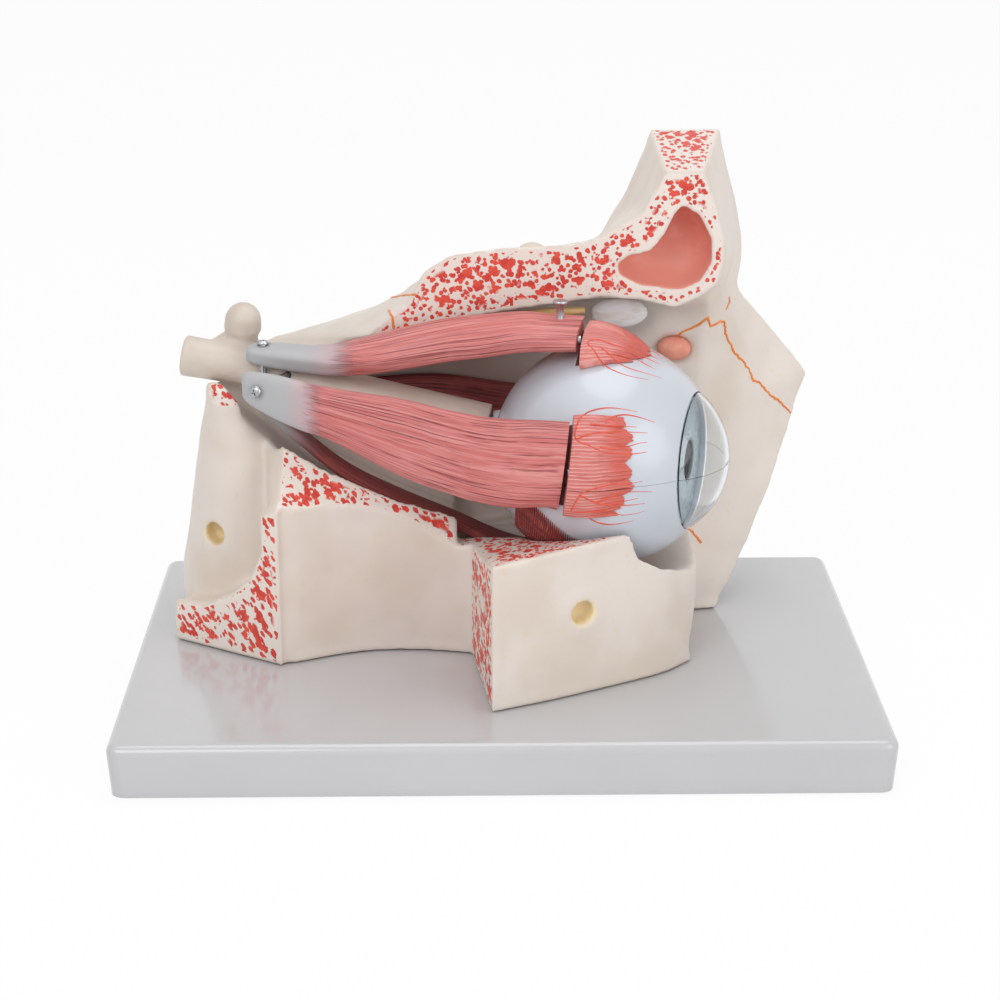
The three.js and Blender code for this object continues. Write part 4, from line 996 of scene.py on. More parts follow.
@dataclass
class Studio(Assembly):
    """The camera at the photograph's angle, the pale floor and soft lamps.

    The place and size of each lamp, and the point that they face, are in metres.
    """

    eye: Vector = field(default_factory=lambda: Vector((-10.906, -800.793, 342.962)))
    yaw: float = 0.0139
    pitch: float = 0.3252
    roll: float = -0.0012
    lens: float = 86.08
    sensor: float = 36.0
    frame_pixels: float = 1000.0
    soft_light: float = 0.46
    floor_glow: float = 0.94
    floor_drop: float = 0.4
    aim: Triple = (0, 0, 0.09)
    lamps: tuple[tuple[str, Triple, float, float], ...] = (
        ("key_lamp", (-0.7, -1.3, 1.1), 1.1, 8.7), ("fill_lamp", (1.1, -1.15, 0.65), 1.3, 6.9),
        ("top_lamp", (0.1, 0.1, 1.6), 1.2, 7.8))

    def matrix(self) -> Matrix:
        """The camera's place and turn.

        Returns:
            The matrix, in metres.
        """
        ahead = Vector((math.sin(self.yaw) * math.cos(self.pitch),
                        math.cos(self.yaw) * math.cos(self.pitch), -math.sin(self.pitch)))
        right = Vector((math.cos(self.yaw), -math.sin(self.yaw), 0))
        above = right.cross(ahead)
        turned_right = right * math.cos(self.roll) + above * math.sin(self.roll)
        turned_up = above * math.cos(self.roll) - right * math.sin(self.roll)
        rows = Matrix((turned_right, turned_up, -ahead)).transposed().to_4x4()
        return Matrix.Translation(self.eye * MM) @ rows

    def ray(self, u: float, v: float) -> tuple[Vector, Vector]:
        """The sight line through a point of the picture.

        Args:
            u: The point's place from the left, in pixels.
            v: Its place from the top.

        Returns:
            The line's start in metres and its direction.
        """
        focal = self.lens / self.sensor * self.frame_pixels
        middle = self.frame_pixels / 2
        turn = self.matrix().to_3x3()
        direction = turn @ Vector(((u - middle) / focal, (middle - v) / focal, -1))
        return self.eye * MM, direction.normalized()

    def add_camera(self) -> None:
        """Adds the camera."""
        data = bpy.data.cameras.new("studio_camera")
        data.lens = self.lens
        data.sensor_width = self.sensor
        data.clip_end = 20
        camera = added("studio_camera", data)
        camera.matrix_world = self.matrix()
        bpy.context.scene.camera = camera

    def add_lamp(self, name: str, spot: Triple, size: float, power: float) -> None:
        """Adds a soft round lamp that faces the eye model.

        Args:
            name: The lamp's name.
            spot: Its place, in metres.
            size: Its width, in metres.
            power: Its power, in watts.
        """
        data = bpy.data.lights.new(name, "AREA")
        data.shape = "DISK"
        data.size = size
        data.energy = power
        lamp = added(name, data)
        lamp.location = spot
        ahead = Vector(self.aim) - Vector(spot)
        lamp.rotation_euler = ahead.to_track_quat("-Z", "Y").to_euler()

    def add_world(self) -> None:
        """Makes the world white where it is looked at, and a soft grey light elsewhere."""
        world = bpy.data.worlds.new("studio_world")
        bpy.context.scene.world = world
        world.use_nodes = True
        nodes = Nodes(world.node_tree)
        soft = nodes.node("ShaderNodeBackground", None, {0: WHITE, 1: self.soft_light})
        white = nodes.node("ShaderNodeBackground", None, {0: WHITE, 1: 1.0})
        nodes.node("ShaderNodeOutputWorld", None, {"Surface": nodes.either(nodes.backdrop(), soft, white)})

    def add_floor(self) -> None:
        """Adds the pale floor, which glows where it is looked at and keeps a faint shadow."""
        self.bench.clear()
        bpy.ops.mesh.primitive_plane_add(size=12, location=(0, 0, -self.floor_drop * MM))
        floor = self.bench.named("studio_floor")
        shader = Shader("studio_floor")
        grain = shader.noise(shader.place(), 60, 2)
        pale = shader.mix(grain, paint(246, 246, 247), paint(250, 250, 250))
        shader.dress(Base_Color=pale, Roughness=0.9)
        glow = shader.node("ShaderNodeEmission", None, {0: WHITE, 1: 1.0})
        shader.feed(shader.output.inputs["Surface"],
                    shader.either(shader.backdrop() * self.floor_glow, shader.surface, glow))
        floor.data.materials.append(shader.material)

    def build(self) -> None:
        """Sets up the whole studio."""
        bpy.context.scene.view_settings.view_transform = "Standard"
        self.add_camera()
        self.add_world()
        self.add_floor()
        for name, spot, size, power in self.lamps:
            self.add_lamp(name, spot, size, power)
        LOG.info("studio: camera, floor and three lamps")


# Base


@dataclass
class BasePlate(Assembly):
    """The flat base: a hollow glossy tray turned upside down, with ribs and screw bosses."""

    length: float = 260
    depth: float = 180
    top: float = 19
    rim: float = 0.6
    wall: float = 3
    corner: float = 5
    fillet: float = 3.5
    draft: float = 1.2
    rib: float = 2
    boss_radius: float = 7.3
    bore_radius: float = 4.3
    boss_height: float = 4.6
    overlap: float = 1
    foot_inset: float = 16
    foot_height: float = 3.3
    foot_radius: float = 8
    screws: tuple[Pair, ...] = ((26, -36), (30, 40), (-92, 30), (74, 45))

    def tray(self) -> Piece:
        """Models the tray: rounded corners, a soft top edge and a hollow below.

        Returns:
            The tray, without what stiffens it.
        """
        piece = self.bench.block("base_tray", (-self.length / 2, -self.depth / 2, self.rim),
                                 (self.length / 2, self.depth / 2, self.top))
        self.bench.choose(piece, "EDGE", lambda e: abs(e.verts[0].co.z - e.verts[1].co.z) > 0.001)
        bpy.ops.mesh.bevel(offset=self.corner * MM, segments=10, affect="EDGES")
        middle = (self.rim + self.top) / 2 * MM
        self.bench.choose(piece, "VERT", lambda v: v.co.z < middle)
        narrow = (1 - 2 * self.draft / self.length, 1 - 2 * self.draft / self.depth, 1)
        bpy.ops.transform.resize(value=narrow, center_override=(0, 0, 0))
        self.bench.choose(piece, "EDGE", lambda e: all(v.co.z > middle for v in e.verts))
        bpy.ops.mesh.bevel(offset=self.fillet * MM, segments=8, affect="EDGES")
        self.bench.choose(piece, "FACE", lambda f: f.normal.z < -0.9)
        bpy.ops.mesh.inset(thickness=self.wall * MM)
        bpy.ops.mesh.extrude_region_move(
            TRANSFORM_OT_translate={"value": (0, 0, (self.top - self.wall - self.rim) * MM)})
        self.bench.closed()
        return piece

    def stiffening(self) -> list[Piece]:
        """Models what stands under the tray's top.

        Returns:
            The ribs, the screw bosses and the posts of the feet.
        """
        ceiling = self.top - self.wall
        x, y = self.length / 2 - self.wall, self.depth / 2 - self.wall
        half = self.rib / 2
        low, high = ceiling / 2, ceiling + self.overlap
        parts = []
        for index, rib in enumerate((-self.depth / 6, self.depth / 6)):
            parts.append(self.bench.block(f"long_rib_{index}", (-x, rib - half, low), (x, rib + half, high)))
        for index, rib in enumerate((-self.length / 4, 0, self.length / 4)):
            parts.append(self.bench.block(f"cross_rib_{index}", (rib - half, -y, low), (rib + half, y, high)))
        low = ceiling - self.boss_height
        ring = [(self.bore_radius, low), (self.boss_radius, low), (self.boss_radius, high),
                (self.bore_radius, high), (self.bore_radius, low)]
        for index, screw in enumerate(self.screws):
            parts.append(self.bench.turned(f"boss_{index}", ring, Vector((*screw, 0)), UP, 40))
        across, deep = self.length / 2 - self.foot_inset, self.depth / 2 - self.foot_inset
        for index, (sx, sy) in enumerate(((-1, -1), (1, -1), (-1, 1), (1, 1))):
            foot, head = (Vector((sx * across, sy * deep, z)) for z in (self.foot_height, high))
            parts.append(self.bench.rod(f"foot_post_{index}", foot, head, self.foot_radius))
        return parts

    def build(self) -> None:
        """Makes and dresses the base, and dresses what stands under it."""
        piece = self.bench.joined("base_tray", [self.tray(), *self.stiffening()])
        gloss = PaintedFinish("base_gloss", paint(198, 198, 200), paint(194, 194, 196), 0.16, cloud=70,
                              grain=1.6, depth=0.012, coat=0.35).build()
        self.bench.finished(piece, gloss, Body.ORBIT, "base", ["base_plate"], 35)
        rubber = PaintedFinish("foot_rubber", paint(38, 38, 40), paint(52, 52, 54), 0.8, cloud=3,
                               grain=0.4, depth=0.08).build()
        for name in ("foot_front_left", "foot_front_right", "foot_rear_left", "foot_rear_right"):
            self.bench.coated(self.bench.frame["nodes"][name], rubber)


# Bones


@dataclass(frozen=True)
class CutFace:
    """A flat face where the model cuts through bone, with the box that it lies in."""

    point: Triple
    normal: Triple
    low: Triple
    high: Triple
    facing: float = 0.93
    reach: float = 0.45

    def holds(self, spot: Vector, facing: Vector) -> bool:
        """Whether a corner of a bone lies on this face.

        Args:
            spot: The corner in millimetres.
            facing: The way that the surface faces there.

        Returns:
            True if it lies on the face.
        """
        out = Vector(self.normal).normalized()
        inside = all(a <= c <= b for a, c, b in zip(self.low, spot, self.high))
        level = abs((spot - Vector(self.point)).dot(out))
        return inside and facing.dot(out) > self.facing and level < self.reach


@dataclass
class Bones(Assembly):
    """The cut-away bones of the orbit, in two pieces that keep the solids' forms and soften them."""

    voxel: float = 1.0
    bottom: float = 19.3
    cut_y: float = 20.0
    sinus_depth: float = 16.0
    sinus_rim: float = 1.2
    sinus_growth: float = 1.05
    sinus: tuple[Pair, ...] = (
        (64.3, 174.3), (70.3, 170.7), (74.8, 161.8), (75, 153.9), (70.9, 146.8), (64, 143.9), (49.8, 145.8),
        (42.7, 149.4), (41.6, 153), (45.4, 155.9), (53.1, 157.6), (58.3, 163.7), (61.6, 170.7))
    faces: tuple[CutFace, ...] = (
        CutFace((0, 20, 0), (0, -1, 0), (-60, 19, 122), (90, 21, 192)),
        CutFace((64, 20, 186.2), (0, -0.087, 0.996), (50, 18, 184), (90, 80, 193)),
        CutFace((-3.4, -64.3, 71.1), (-0.156, 0.176, 0.972), (-16, -90, 40), (70, 10, 100)),
        CutFace((-22, -9, 63.5), (0.3155, -0.574, 0.755), (-90, -60, 40), (-14, 20, 110)),
        CutFace((-79.4, -20.7, 40), (-0.5494, -0.8355, 0), (-125, -40, 18), (-50, 15, 95)),
        CutFace((-10, -12, 40), (-0.9924, -0.1231, 0), (-16, -80, 18), (0, 0, 80)),
    )
    hollows: tuple[Triple, ...] = ((27.6, -48.7, 48.7), (-101.5, 9.5, 58.0))
    patch: Triple = (-96.5, 7.0, 110.6)
    patch_size: Triple = (7.2, 6.0, 5.2)
    swell: float = 0.35
    ripple: float = 0.08
    shrink: float = 0.25

    def in_sinus(self, spot: Vector) -> bool:
        """Whether a corner belongs to the sinus's hollow, seen square to the cut face.

        Args:
            spot: The corner in millimetres.

        Returns:
            True if it lies in the hollow, or beside it.
        """
        if not self.cut_y - self.sinus_rim < spot.y < self.cut_y + self.sinus_depth:
            return False
        middle = Vector([sum(numbers) for numbers in zip(*self.sinus)]) / len(self.sinus)
        ring = [middle + (Vector(p) - middle) * self.sinus_growth for p in self.sinus]
        inside = False
        for a, b in zip(ring, ring[1:] + ring[:1]):
            if (a.y > spot.z) != (b.y > spot.z):
                inside ^= spot.x < a.x + (spot.z - a.y) * (b.x - a.x) / (b.y - a.y)
        return inside

    def painted(self, spot: Vector) -> bool:
        """Whether a corner lies in the small oval patch under the nerve, which has marks too."""
        shares = [(a - b) / size for a, b, size in zip(spot, self.patch, self.patch_size)]
        return Vector(shares).length < 1

    def depths(self, piece: Piece) -> tuple[list[float], list[float]]:
        """Measures, for each corner, how far inside a cut face it lies and how far outside.

        Args:
            piece: The bone.

        Returns:
            Distances in millimetres: into the face from its border, and away from any face.
        """
        spots = [corner.co / MM for corner in piece.data.vertices]
        facing = [corner.normal.copy() for corner in piece.data.vertices]
        inside = [self.painted(s) or any(face.holds(s, n) for face in self.faces)
                  for s, n in zip(spots, facing)]
        trees = []
        for side in (True, False):
            members = [i for i, state in enumerate(inside) if state is side]
            tree = kdtree.KDTree(len(members))
            for i in members:
                tree.insert(spots[i], i)
            tree.balance()
            trees.append(tree)
        into = [trees[1].find(s)[2] if state else 0.0 for s, state in zip(spots, inside)]
        out = [0.0 if state else trees[0].find(s)[2] for s, state in zip(spots, inside)]
        return into, out

    def soften(self, piece: Piece) -> None:
        """Rounds a bone like the real casting, and keeps its cut faces, holes and foot crisp.

        Args:
            piece: The bone, which is changed.
        """
        self.bench.remeshed(piece, self.voxel)
        _, out = self.depths(piece)
        weights = []
        for corner, away in zip(piece.data.vertices, out):
            spot = corner.co / MM
            weight = ease(away, 0.8, 6.0) * ease(spot.z, self.bottom + 0.7, self.bottom + 5)
            for hollow in self.hollows:
                weight *= ease((spot - Vector(hollow)).length, 6.0, 12.0)
            weights.append(weight)
        self.bench.smoothed(piece, weights, 0.6, 46)
        edges = [0.55 * ease(c.co.z / MM, self.bottom + 0.4, self.bottom + 1.5) for c in piece.data.vertices]
        self.bench.smoothed(piece, edges, 0.5, 4)
        spots = []
        for corner, weight in zip(piece.data.vertices, weights):
            rise = (noise.noise(corner.co / (14 * MM)) * self.swell
                    + noise.noise(corner.co / (5 * MM)) * self.ripple - self.shrink)
            spots.append(corner.co + corner.normal * rise * weight * MM)
        self.bench.moved(piece, spots)

    def build(self) -> list[Piece]:
        """Makes and dresses the bones.

        Returns:
            The two pieces.
        """
        lower = BoneFinish("bone_paint_lower", lean=0.5, length=1.5)
        rows = (("brow_and_nose", ["frontal_bone", "nasal_bone"], BoneFinish()),
                ("cheek_and_rear", ["cheek_bone", "sphenoid_bone"], lower))
        made = []
        for name, nodes, finish in rows:
            piece = self.bench.solids(name, nodes)
            self.soften(piece)
            into, _ = self.depths(piece)
            self.bench.store(piece, "cut_depth", into)
            self.bench.store(piece, "sinus", [float(self.in_sinus(c.co / MM)) for c in piece.data.vertices])
            made.append(self.bench.finished(piece, finish.build(), Body.ORBIT, "bone", nodes, 62))
        return made


# Optic nerve and muscles


@dataclass
class OpticNerve(Assembly):
    """The thick ivory nerve with its crossing at the back, smoothed from the solid."""

    path: tuple[Triple, ...] = (
        (-112, 22, 120.5), (-92, 20.5, 117.2), (-60, 16, 110), (-3.58, 10.49, 98.4))
    radius: float = 7.4
    voxel: float = 0.62

    def push(self, spot: Vector, gap: float) -> Vector:
        """Moves a point out of the nerve and the gap round it.

        Args:
            spot: The point in millimetres.
            gap: The room kept round the nerve.

        Returns:
            The point where it may lie.
        """
        reach = self.radius + gap
        for start, end in zip(self.path, self.path[1:]):
            a, b = Vector(start), Vector(end)
            share = min(max((spot - a).dot(b - a) / (b - a).length_squared, 0), 1)
            foot = a.lerp(b, share)
            away = spot - foot
            if 1e-6 < away.length < reach:
                spot = foot + away * (reach / away.length)
        return spot

    def build(self) -> None:
        """Makes and dresses the nerve."""
        piece = self.bench.solids("ivory_nerve", ["optic_nerve"])
        self.bench.remeshed(piece, self.voxel)
        self.bench.smoothed(piece, [1.0 - ease(c.co.x / MM, -14, -8) for c in piece.data.vertices], 0.5, 16)
        ivory = PaintedFinish("nerve_ivory", paint(217, 205, 194), paint(207, 193, 180), 0.42, cloud=16,
                              grain=0.9, depth=0.08)
        self.bench.finished(piece, ivory.build(), Body.ORBIT, "nerve", ["optic_nerve"], 60)


class Station(NamedTuple):
    """One cross-section of a muscle: its centre, width, thickness, tilt in degrees and bend."""

    x: float
    y: float
    z: float
    width: float
    thick: float
    tilt: float
    bend: float


@dataclass
class Muscle:
    """A muscle as a ribbon through its stations, stopped at an end line and clear of the ball."""

    name: str
    node: str
    body: Body
    slot: str
    stations: tuple[Station, ...]
    across: Vector
    out: Vector
    clearance: float
    end: tuple[Pair, ...] = ()
    end_axis: int = 1
    pivot: tuple[Vector, Vector] | None = None
    swing: float = 0.0
    columns: int = 150
    rows: int = 120
    side_power: float = 0.75
    face_power: float = 0.6
    swing_step: float = 3.0
    washer: float = 2.95
    nerve_room: float = 0.35
    swing_room: float = 0.9

    def station(self, place: float) -> Station:
        """The section at a place along the row of stations, on a smooth curve through them.

        Args:
            place: The place, 0 at the first station, 1 at the second and so on.

        Returns:
            The section there.
        """
        last = len(self.stations) - 1
        index = min(int(place), last - 1)
        rows = [self.stations[min(max(k, 0), last)] for k in range(index - 1, index + 3)]
        return Station(*(between(four, place - index) for four in zip(*rows)))

    def surface(self, place: float, around: float) -> Vector:
        """A point of the plain ribbon.

        Args:
            place: The place along the stations.
            around: The share of the way round it.

        Returns:
            The point in millimetres.
        """
        s = self.station(place)
        turn = math.radians(s.tilt)
        side = self.across * math.cos(turn) + self.out * math.sin(turn)
        face = self.out * math.cos(turn) - self.across * math.sin(turn)
        angle = 2 * math.pi * around - math.pi / 2
        cosine, sine = math.cos(angle), math.sin(angle)
        wide = math.copysign(abs(cosine) ** self.side_power, cosine) * s.width / 2
        high = math.copysign(abs(sine) ** self.face_power, sine) * s.thick / 2
        centre = Vector((s.x, s.y, s.z))
        if s.bend > 1:
            reach = s.bend + high
            return (centre + side * (reach * math.sin(wide / s.bend))
                    + face * (reach * math.cos(wide / s.bend) - s.bend))
        return centre + side * wide + face * high

    def stop(self, spot: Vector) -> float:
        """Where the end line lies along X beside a point.

        Args:
            spot: The point in millimetres.

        Returns:
            The line's X, far ahead if there is no line.
        """
        if not self.end:
            return 1e3
        place = spot[self.end_axis]
        rows = sorted(self.end)
        for (a, xa), (b, xb) in zip(rows, rows[1:]):
            if place <= b:
                return xa + (xb - xa) * (place - a) / (b - a)
        return rows[-1][1]

    def last_place(self, around: float) -> float:
        """How far along the stations the ribbon runs.

        Args:
            around: The share of the way round it.

        Returns:
            The place where it meets its end line.
        """
        high = float(len(self.stations) - 1)
        if not self.end:
            return high
        low = high - 2
        for _ in range(22):
            middle = (low + high) / 2
            spot = self.surface(middle, around)
            if spot.x < self.stop(spot):
                low = middle
            else:
                high = middle
        return low

    def balls(self) -> list[Vector]:
        """The ball as the swinging muscle meets it.

        Returns:
            The ball's centre, seen from the muscle, at steps of its swing.
        """
        if self.pivot is None:
            return [EYE]
        seat, axis = self.pivot
        steps = max(int(self.swing / self.swing_step), 1)
        turns = [Matrix.Rotation(math.radians(self.swing * i / steps), 3, axis) for i in range(steps + 1)]
        return [seat + turn @ (EYE - seat) for turn in turns]

    def build(self, bench: Workbench, nerve: OpticNerve, finish: FibreFinish) -> None:
        """Makes and dresses the muscle.

        Args:
            bench: The modelling steps.
            nerve: The nerve that the muscle stays clear of.
            finish: Its material.
        """
        ends = [self.last_place(i / self.rows) for i in range(self.rows + 1)]
        balls = self.balls()
        reach = EYE_RADIUS + self.clearance + 0.05

        def place(along: float, around: float) -> Vector:
            """A point of the finished muscle.

            Args:
                along: The share of the way along it.
                around: The share of the way round it.

            Returns:
                The point in millimetres.
            """
            spot = self.surface(along * ends[round(around * self.rows) % self.rows], around)
            spot = nerve.push(spot, self.swing_room if self.pivot else self.nerve_room)
            for centre in balls:
                away = spot - centre
                if away.length < reach:
                    spot = centre + away * (reach / away.length)
            if self.pivot:
                seat, axis = self.pivot
                rise = (spot - seat).dot(axis)
                if rise > 0 and (spot - seat - axis * rise).length < self.washer:
                    spot = spot - axis * rise
            if self.end:
                spot.x = min(spot.x, self.stop(spot))
            return spot

        piece = bench.sleeve(self.name, self.columns, self.rows, place)
        bench.finished(piece, finish.build(), self.body, self.slot, [self.node], 50)


SUPERIOR_PIVOT = (Vector((-82.5, 10.8, 127.1)), Vector((0, 0.1, 0.995)).normalized())
LATERAL_PIVOT = (Vector((-83.6, -8.4, 115.6)), Vector((-0.4, -0.9165, 0)).normalized())


def stations(start: float, bend: float, gentle: float, *rows: tuple[float, ...]) -> tuple[Station, ...]:
    """Rows of numbers as stations.

    Args:
        start: The X past which the muscle bends round the ball.
        bend: The radius of its bend there.
        gentle: The radius of its bend before.
        rows: For each station its centre, width, thickness and, if it has one, its tilt.

    Returns:
        The stations.
    """
    made = []
    for x, y, z, width, thick, *tilt in rows:
        made.append(Station(x, y, z, width, thick, *(tilt or (0.0,)), bend if x > start else gentle))
    return tuple(made)


class Muscles(Assembly):
    """All the muscles that run from the rear of the orbit to the ball."""

    superior = Muscle(
        "upper_muscle", "superior_rectus", Body.SUPERIOR, "muscle",
        stations(-20, 66, 260, (-88.5, 12, 123.6, 5.5, 4), (-86, 11.6, 123.8, 9.5, 6, 5),
                 (-78, 10.5, 123.3, 11.5, 7.5, 10), (-68, 9.5, 122.4, 11.5, 8, 14),
                 (-58, 8.5, 122.3, 13.5, 8.6, 17), (-45, 7.5, 124.2, 17.5, 9, 18),
                 (-32, 5.5, 127.4, 21.5, 9, 16), (-12, 2, 132.2, 25.5, 8.8, 11),
                 (7, -1, 135.2, 27.5, 8.4, 7), (18, -3, 135.4, 28, 8, 4), (34, -4, 135.17, 28, 6.8, 3)),
        ACROSS, UP, 1.6, ((60, 29.7), (3, 29.7), (-19, 25.3), (-60, 25.3)), 1, SUPERIOR_PIVOT, 9)
    lateral = Muscle(
        "outer_muscle", "lateral_rectus", Body.LATERAL, "muscle",
        stations(0, 60, 260, (-88.8, -4, 116.4, 7, 3.4), (-86.5, -4.6, 115.9, 11.5, 4.6),
                 (-78, -6.8, 113.4, 15.5, 5.4), (-68, -9.4, 110.6, 17.5, 6), (-58, -12.6, 108.5, 18.5, 7),
                 (-34.5, -23.5, 103.6, 27, 8), (-18, -31, 100.6, 29.5, 8, 3), (-6.5, -35.5, 99, 31, 7.2, 5),
                 (8, -39.7, 98.2, 32.5, 6, 8), (25, -41.33, 97.94, 32.5, 4.9, 10)),
        UP, OUTWARD, 1.6, ((140, 25.5), (60, 16.8)), 2, LATERAL_PIVOT, 30, rows=132)
    inferior = Muscle(
        "lower_muscle", "inferior_rectus", Body.ORBIT, "dark_muscle",
        stations(999, 0, 0, (-86, 12, 107, 8, 5), (-72, 10.5, 95.2, 10, 5.5), (-54, 12, 79.8, 12, 5.5),
                 (-35, 13, 69.2, 14, 5.5), (-16, 12.8, 61.2, 14.4, 4.6), (4, 8, 53.8, 17, 3.6),
                 (22, 2, 51.95, 20, 2.8)), ACROSS, -UP, 0.9, columns=110, rows=72)
    medial = Muscle(
        "inner_muscle", "medial_rectus", Body.ORBIT, "dark_muscle",
        stations(999, 0, 0, (-84, 24.5, 111, 8, 4.5), (-66, 27, 104.5, 11.5, 5.5), (-46, 29.5, 102, 16, 6),
                 (-22, 33.5, 99.5, 21, 6), (2, 36.6, 94.5, 23, 5.5), (20, 36.9, 91.5, 24, 4)),
        UP, ACROSS, 0.9, columns=100, rows=72)
    oblique = Muscle(
        "oblique_muscle", "superior_oblique", Body.ORBIT, "dark_muscle",
        stations(999, 0, 0, (-80, 25.5, 120.5, 5, 4.5), (-64, 27, 117, 6.5, 5.5), (-44, 28.5, 117, 9, 6.5),
                 (-20, 31, 120, 10, 7), (4, 32, 123.5, 8, 6), (26, 32, 127.5, 5, 4)),
        UP, ACROSS, 0.9, columns=90, rows=56)

    def build(self, nerve: OpticNerve) -> None:
        """Makes and dresses every muscle.

        Args:
            nerve: The nerve that they stay clear of.
        """
        pink = (paint(209, 114, 111), paint(228, 150, 145), paint(142, 62, 66), paint(182, 182, 184),
                paint(198, 172, 176))
        # The deep muscles take darker copies of the pink tones, the tendon grey too: painted shade for the
        # muscles that lie low and deep in the orbit.
        deep = (paint(150, 70, 70), paint(172, 88, 84), paint(92, 36, 40), paint(150, 148, 148),
                paint(150, 110, 112))
        self.superior.build(self.bench, nerve, FibreFinish("upper_fibres", *pink, -62, 12))
        self.lateral.build(self.bench, nerve, FibreFinish("outer_fibres", *pink, -70, 9, lines=70))
        shaded = FibreFinish("deep_fibres", *deep, -72, 10, lines=44)
        for muscle in (self.inferior, self.medial, self.oblique):
            muscle.build(self.bench, nerve, shaded)


# Eyeball


@dataclass
class Eyeball(Assembly):
    """The ball in halves: sclera, choroid, iris and cornea, round the lens and the clear body."""

    turn: float = 18.0
    wall: float = 2.4
    limbus: float = 24.0
    cornea_radius: float = 29.7
    cornea_wall: float = 1.2
    seam: float = 0.12
    choroid_wall: float = 1.8
    vitreous_gap: float = 0.8
    iris_setback: float = 2.4
    iris_thickness: float = 1.2
    iris_wave: float = 0.12
    pupil: float = 7.0
    lens_radius: float = 13.5
    lens_thickness: float = 11.0
    lens_setback: float = 5.2
    nerve_gap: float = 3.6
    tab_radius: float = 5.6
    tab: Triple = (-0.1, 13, 9)
    peg: tuple[Pair, ...] = (
        (0, -7), (1.9, -7), (2.4, -6.4), (2.4, 1.9), (3.6, 1.9), (4, 2.3), (4, 6), (0, 6))
    slope: float = 7.0
    segments: int = 128

    def __post_init__(self) -> None:
        """Works out the axis, and the planes that lie across it, that the pieces share."""
        angle = math.radians(self.turn)
        self.axis = Vector((math.cos(angle), -math.sin(angle), 0))
        self.limbus_plane = math.sqrt(EYE_RADIUS ** 2 - self.limbus ** 2)
        self.cornea_centre = self.limbus_plane - math.sqrt(self.cornea_radius ** 2 - self.limbus ** 2)
        self.choroid_radius = EYE_RADIUS - self.wall - SEAT
        self.iris_plane = self.limbus_plane - self.iris_setback
        self.iris_radius = math.sqrt(self.choroid_radius ** 2 - self.iris_plane ** 2)
        self.lens_middle = self.iris_plane - self.lens_setback - self.lens_thickness / 2
        away = Vector((-40.6, 12.5, 7.4)).normalized()
        self.nerve_end = EYE + away * (EYE_RADIUS + self.nerve_gap)
        slope = math.radians(self.slope)
        self.withdrawal = Vector((math.cos(slope), 0, math.sin(slope)))

    def arc(self, centre: float, radius: float, start: float, end: float, steps: int
            ) -> list[Pair]:
        """Points of an arc about a centre on the axis.

        Args:
            centre: The centre's distance along the axis.
            radius: The arc's radius.
            start: The angle off the axis at which it starts.
            end: The angle at which it ends.
            steps: The number of steps between.

        Returns:
            Pairs of radius and distance along the axis.
        """
        angles = [start + (end - start) * i / steps for i in range(steps + 1)]
        return [(abs(radius * math.sin(a)), centre + radius * math.cos(a)) for a in angles]

    def turned(self, name: str, profile: list[Pair]) -> Piece:
        """A piece turned about the optical axis."""
        return self.bench.turned(name, profile, EYE, self.axis, self.segments)

    def from_nerve(self, distance: float) -> Vector:
        """A point on the line along which the ball is drawn out."""
        return self.nerve_end + self.withdrawal * distance

    def stub_tab(self, grown: float) -> Piece:
        """The tab of the lower shell that rises past the seam, or its notch when grown.

        Args:
            grown: How much larger it is all round, in millimetres.

        Returns:
            The piece.
        """
        radius = self.tab_radius + grown
        start, end, top = (self.from_nerve(distance) for distance in self.tab)
        rod = self.bench.rod("stub_tab", start, end, radius)
        web = self.bench.block("stub_web", (start.x, self.nerve_end.y - radius, EYE.z - 1),
                               (end.x, self.nerve_end.y + radius, top.z))
        self.bench.combine(rod, web, "UNION")
        return rod

    def sclera(self, half: Half) -> Piece:
        """Half of the white shell, with the rear tab and peg on the lower one.

        Args:
            half: The half.

        Returns:
            The piece.
        """
        edge = math.asin(self.limbus / EYE_RADIUS)
        inner = EYE_RADIUS - self.wall
        inner_edge = math.asin(self.limbus / inner)
        profile = [*self.arc(0, EYE_RADIUS, math.pi, edge, 56),
                   *self.arc(0, inner, inner_edge, math.pi, 48)]
        piece = self.turned(f"sclera_shell_{half.name.lower()}", profile)
        if half is Half.UPPER:
            below = self.bench.block("below", (-60, -90, 0), (120, 90, EYE.z + self.seam / 2))
            self.bench.combine(piece, below, "DIFFERENCE")
            self.bench.combine(piece, self.stub_tab(SEAT), "DIFFERENCE")
            return piece
        lid = self.bench.block("above", (-60, -90, EYE.z - self.seam / 2), (120, 90, 190))
        self.bench.combine(lid, self.stub_tab(0), "DIFFERENCE")
        self.bench.combine(piece, lid, "DIFFERENCE")
        stub = self.bench.turned("stub", self.peg, self.nerve_end, self.withdrawal, 48)
        self.bench.combine(piece, stub, "UNION")
        return piece

    def choroid(self, half: Half) -> Piece:
        """Half of the dark inner shell.

        Args:
            half: The half.

        Returns:
            The piece.
        """
        outer, inner = self.choroid_radius, self.choroid_radius - self.choroid_wall
        profile = [*self.arc(0, outer, math.pi, math.asin(self.iris_radius / outer), 40),
                   *self.arc(0, inner, math.asin(min(self.iris_radius / inner, 1)), math.pi, 36)]
        piece = self.turned(f"choroid_shell_{half.name.lower()}", profile)
        self.bench.halved(piece, half)
        if half is Half.UPPER:
            self.bench.combine(piece, self.stub_tab(2 * SEAT), "DIFFERENCE")
        return piece

    def cornea(self, half: Half) -> Piece:
        """Half of the clear dome.

        Args:
            half: The half.

        Returns:
            The piece.
        """
        edge = math.asin((self.limbus - SEAT) / self.cornea_radius)
        middle = self.cornea_centre + SEAT
        profile = [*self.arc(middle, self.cornea_radius - self.cornea_wall, 0, edge, 28),
                   *self.arc(middle, self.cornea_radius, edge, 0, 28)]
        piece = self.turned(f"clear_dome_{half.name.lower()}", profile)
        self.bench.halved(piece, half, self.seam)
        return piece

